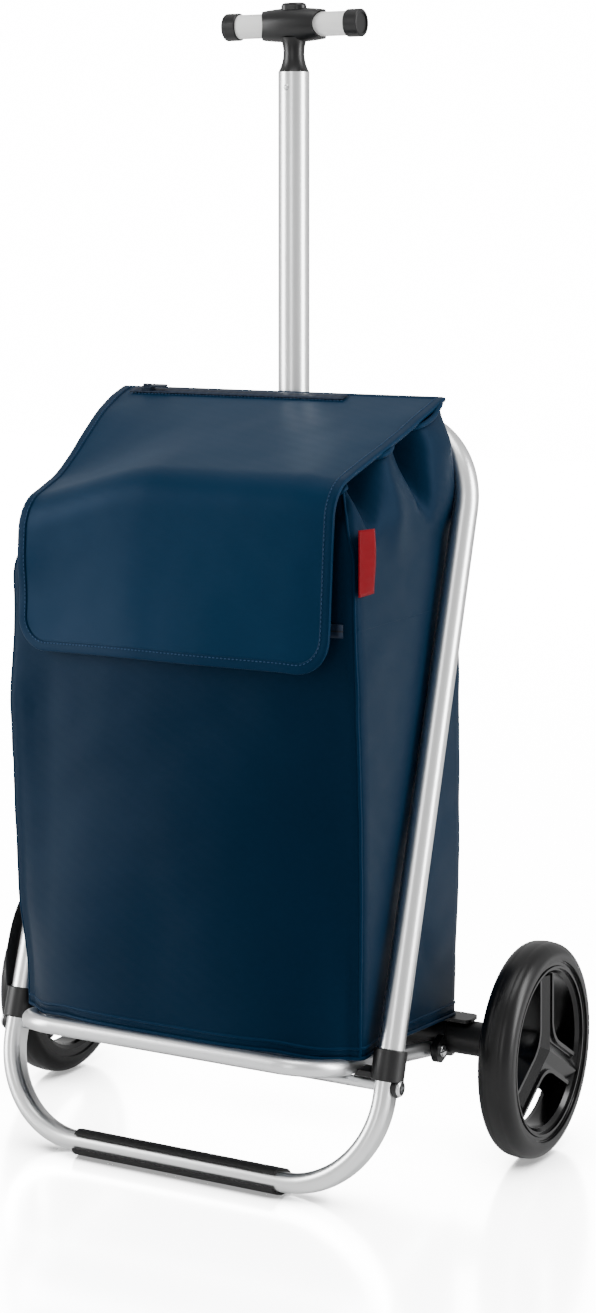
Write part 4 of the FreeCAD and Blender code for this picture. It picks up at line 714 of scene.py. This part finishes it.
def flap_place(x, s, out=0.0):
    """Where a point of the flap's outer face lies: x across, s along from the hinge."""
    angle = min(KNEE_TURN, max(0.0, (s - TOP_RUN) / KNEE_R))
    run = TOP_WAY
    if s >= TOP_RUN:
        run = (TOP_WAY * math.cos(angle) + TOP_INWARD * math.sin(angle)).normalized()
    if s >= TOP_RUN + KNEE_RUN:
        run = FRONT_WAY
    p = HINGE + TOP_WAY * min(s, TOP_RUN) + FRONT_WAY * max(0.0, s - TOP_RUN - KNEE_RUN)
    p += TOP_INWARD * KNEE_R * (1 - math.cos(angle)) + TOP_WAY * KNEE_R * math.sin(angle)
    normal = Vector((0, -abs(run.z), abs(run.y)))
    # Near the hinge the cloth sits further left. The left side hangs lower and curls in below the knee.
    p = p + Vector((x - 5.0 * (1 - smooth(s, 0.0, 110.0)), 0, 0)) + normal * out
    hang = smooth(s, 15.0, 150.0)
    left = smooth(-x, 20.0, 172.0)
    right = smooth(x, 110.0, 158.0)
    fall = left * (LEFT_DROOP * hang * (1 - smooth(s, TOP_RUN + 40, FLAP_LENGTH)) + 4.0) * hang
    p.z -= fall + right * 3.0 * hang
    curl = smooth(s, TOP_RUN + 30, FLAP_LENGTH)
    p.y += left * (4.0 * smooth(s, TOP_RUN - 30, TOP_RUN + 40) + 14.0 * curl) + right * 2.0 * curl
    # Slack in the cloth, more towards its sides.
    waves = 1.6 * noise.noise(Vector((x / 70.0, s / 80.0, 3.7))) + 0.6 * noise.noise(Vector((x / 26.0, s / 30.0, 9.1)))
    edge = smooth(abs(x), 120.0, 160.0) + 0.4
    p += normal * (waves * edge * smooth(s, 6.0, 40.0))
    p.y -= 1.2 * math.sin(x / 31.0 + 0.6) * smooth(s, TOP_RUN + 60, FLAP_LENGTH)
    return p


def narrowing(s):
    """The flap's width at a distance from the hinge, as a share of its width there."""
    return 1 + (FLAP_FRONT_HALF / FLAP_HALF - 1) * smooth(s, 0.0, TOP_RUN)


def flap_flat(band_only):
    """The flap's cloth laid flat, with its hem corners rounded; only the band along its edges if asked."""
    bm = bmesh.new()
    bmesh.ops.create_grid(bm, x_segments=84, y_segments=90, size=0.5)
    for v in bm.verts:
        v.co.x *= 2 * FLAP_HALF
        v.co.y = (0.5 - v.co.y) * FLAP_LENGTH
    slice_bm(bm, (FLAP_HALF - BINDING, 0, 0), (1, 0, 0))
    slice_bm(bm, (-FLAP_HALF + BINDING, 0, 0), (1, 0, 0))
    slice_bm(bm, (0, FLAP_LENGTH - BINDING, 0), (0, 1, 0))
    if band_only:
        middles = [(f, f.calc_center_median()) for f in bm.faces]
        inner = [f for f, m in middles if abs(m.x) < FLAP_HALF - BINDING and m.y < FLAP_LENGTH - BINDING]
        bmesh.ops.delete(bm, geom=inner, context="FACES")
    for v in bm.verts:
        a = (abs(v.co.x) - (FLAP_HALF - FLAP_CORNER_R)) / FLAP_CORNER_R
        b = (v.co.y - (FLAP_LENGTH - FLAP_CORNER_R)) / FLAP_CORNER_R
        if a > 0 and b > 0:
            shrink = max(a, b) / math.hypot(a, b)
            v.co.x = math.copysign(FLAP_HALF - FLAP_CORNER_R + a * shrink * FLAP_CORNER_R, v.co.x)
            v.co.y = FLAP_LENGTH - FLAP_CORNER_R + b * shrink * FLAP_CORNER_R
        v.co.x *= narrowing(v.co.y)
    return bm


def bend_flap(bm, out):
    """Lays the flat cloth over the bag, its faces pointing outwards."""
    for v in bm.verts:
        v.co = flap_place(v.co.x, v.co.y, out)
    bmesh.ops.recalc_face_normals(bm, faces=bm.faces)
    if sum(f.normal.z for f in bm.faces) < 0:
        bmesh.ops.reverse_faces(bm, faces=bm.faces)
    return bm


# The same twill, a shade lighter.
flap_twill = woven("polyester_twill_flap", "#042238", 1.3, 0.1, 0.48, (0.2, 0.5, 0.2))
flap = mesh_piece("flap", bend_flap(flap_flat(False), -0.9), flap_twill)
wall(flap, FLAP_T, -1.0)
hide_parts("flap_panel")
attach(flap, "flap")

# The binding: a folded tape round the two sides and the hem.
binding = mesh_piece("flap_binding", bend_flap(flap_flat(True), 0.0), piping_cloth)
wall(binding, BINDING_T, -1.0)
bevel = binding.modifiers.new("rolled_edge", "BEVEL")
bevel.width = 0.0009
bevel.segments = 2
bevel.limit_method = "ANGLE"
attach(binding, "flap")
# The hinge seam: a roll of the same cloth along the bag's rear edge.
hinge_points = [flap_place(x, 0.0, -2.0) for x in range(-163, 164, 6)]
hinge_roll = cord_along("flap_hinge_seam", hinge_points, 1.9, piping_cloth)
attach(hinge_roll, "flap")

# Lockstitch in navy thread along the binding, nearly three to the centimetre.
STITCH_LENGTH, STITCH_R, STITCH_PITCH = 2.6, 0.42, 3.6
thread = ribbon("polyester_thread_navy", "#28425f", 0.5, 0.5, "X")


def stitches(name, points):
    """A row of stitches along a line, each a small rounded grain of few faces."""
    bm = bmesh.new()
    left_over = 0.0
    for a, b in zip(points, points[1:]):
        run = (b - a).length
        at = left_over
        while at < run:
            place = a.lerp(b, at / run)
            turn = (b - a).to_track_quat("X", "Z").to_matrix().to_4x4()
            size = Matrix.Diagonal((STITCH_LENGTH / 2, STITCH_R, STITCH_R, 1.0))
            bmesh.ops.create_uvsphere(bm, u_segments=6, v_segments=4, radius=1.0,
                                      matrix=Matrix.Translation(place) @ turn @ size)
            at += STITCH_PITCH
        left_over = at - run
    return mesh_piece(name, bm, thread)


# The seam runs this far inside the binding's inner edge, down the left side, round the corner to the middle,
# and back up the right.
SEAM_IN = 1.6
seam_x = FLAP_HALF - BINDING + SEAM_IN
seam = [(-seam_x, s) for s in range(4, int(FLAP_LENGTH - FLAP_CORNER_R), 6)]
r = FLAP_CORNER_R - BINDING + SEAM_IN
for step in range(13):
    angle = step / 12 * math.pi / 2
    seam.append((-(FLAP_HALF - FLAP_CORNER_R + r * math.cos(angle)),
                 FLAP_LENGTH - FLAP_CORNER_R + r * math.sin(angle)))
seam += [(x, FLAP_LENGTH - BINDING + SEAM_IN) for x in range(-126, 1, 6)]
seam += [(-x, s) for x, s in reversed(seam[:-1])]
flap_stitching = stitches("flap_binding_stitching", [flap_place(x * narrowing(s), s, 0.15) for x, s in seam])
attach(flap_stitching, "flap")

# Top zip: a coil zip sewn in beside the hinge, from the left edge past the middle.
TOP_ZIP_X = (-148.0, 72.0)
TOP_ZIP_S = 11.0
top_zip_line = [TOP_ZIP_X[0] + (TOP_ZIP_X[1] - TOP_ZIP_X[0]) * i / 44 for i in range(45)]
top_zip_points = [flap_place(x, TOP_ZIP_S, 0.15) for x in top_zip_line]
top_zip = zip_tape("top_zip", top_zip_points, [-TOP_INWARD] * len(top_zip_points))
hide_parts("top_zip_tape")
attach(top_zip, "flap")
for side_name, offset in (("rear", -7.2), ("front", 7.2)):
    line = [flap_place(x, TOP_ZIP_S + offset, 0.1) for x in top_zip_line]
    row = stitches("top_zip_stitching_" + side_name, line)
    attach(row, "flap")


# ---- strap ----
# A short band of black polypropylene webbing from the left clamp up to a loop round the side tube. It is
# sewn to the loop and bows outwards.
TUBE_X, HEAD_Z = 181.0, 621.0
STRAP_WIDTH, STRAP_T, LOOP_T = 16.0, 1.6, 1.4
STRAP_FOOT, STRAP_RUN = 524.7, 80.0
LOOP_R, LOOP_WIDTH = 12.1, 18.0
LEAN = Matrix.Rotation(-FRAME_LEAN, 3, "X")
# Woven polypropylene: black, dull, coarse ribs.
webbing = ribbon("polypropylene_webbing_black", "#17181a", 1.6, 0.6, "Z")


def on_left_tube(x, y, drop):
    """A place by the left side tube: x from the trolley's middle, y from the tube's plane, drop along the tube."""
    p = LEAN @ Vector((0, y, -drop))
    return Vector((-x, MAST_Y + p.y, HEAD_Z + p.z))


strap_bm = bmesh.new()
bmesh.ops.create_grid(strap_bm, x_segments=4, y_segments=24, size=0.5)
for v in strap_bm.verts:
    f = v.co.y + 0.5
    x = 193.4 - 0.9 * f + 8.0 * math.sin(math.pi * f) + 0.4 * math.sin(9 * f)
    v.co = on_left_tube(x, v.co.x * STRAP_WIDTH + 0.8 * math.sin(4 * f), STRAP_FOOT - STRAP_RUN * f)
strap = mesh_piece("strap", strap_bm, webbing)
wall(strap, STRAP_T, 0.0)
loop_bm = bmesh.new()
bmesh.ops.create_cone(loop_bm, cap_ends=False, segments=40, radius1=LOOP_R, radius2=LOOP_R, depth=LOOP_WIDTH)
uprights = [e for e in loop_bm.edges if abs(e.verts[0].co.z - e.verts[1].co.z) > 1]
bmesh.ops.subdivide_edges(loop_bm, edges=uprights, cuts=3)
for v in loop_bm.verts:
    v.co = on_left_tube(TUBE_X + v.co.x, v.co.y, STRAP_FOOT - STRAP_RUN - 8.0 - v.co.z)
strap_loop = mesh_piece("strap_loop", loop_bm, webbing)
wall(strap_loop, LOOP_T, 0.0)
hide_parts("strap_left")
for piece in (strap, strap_loop):
    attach(piece, "front_frame")
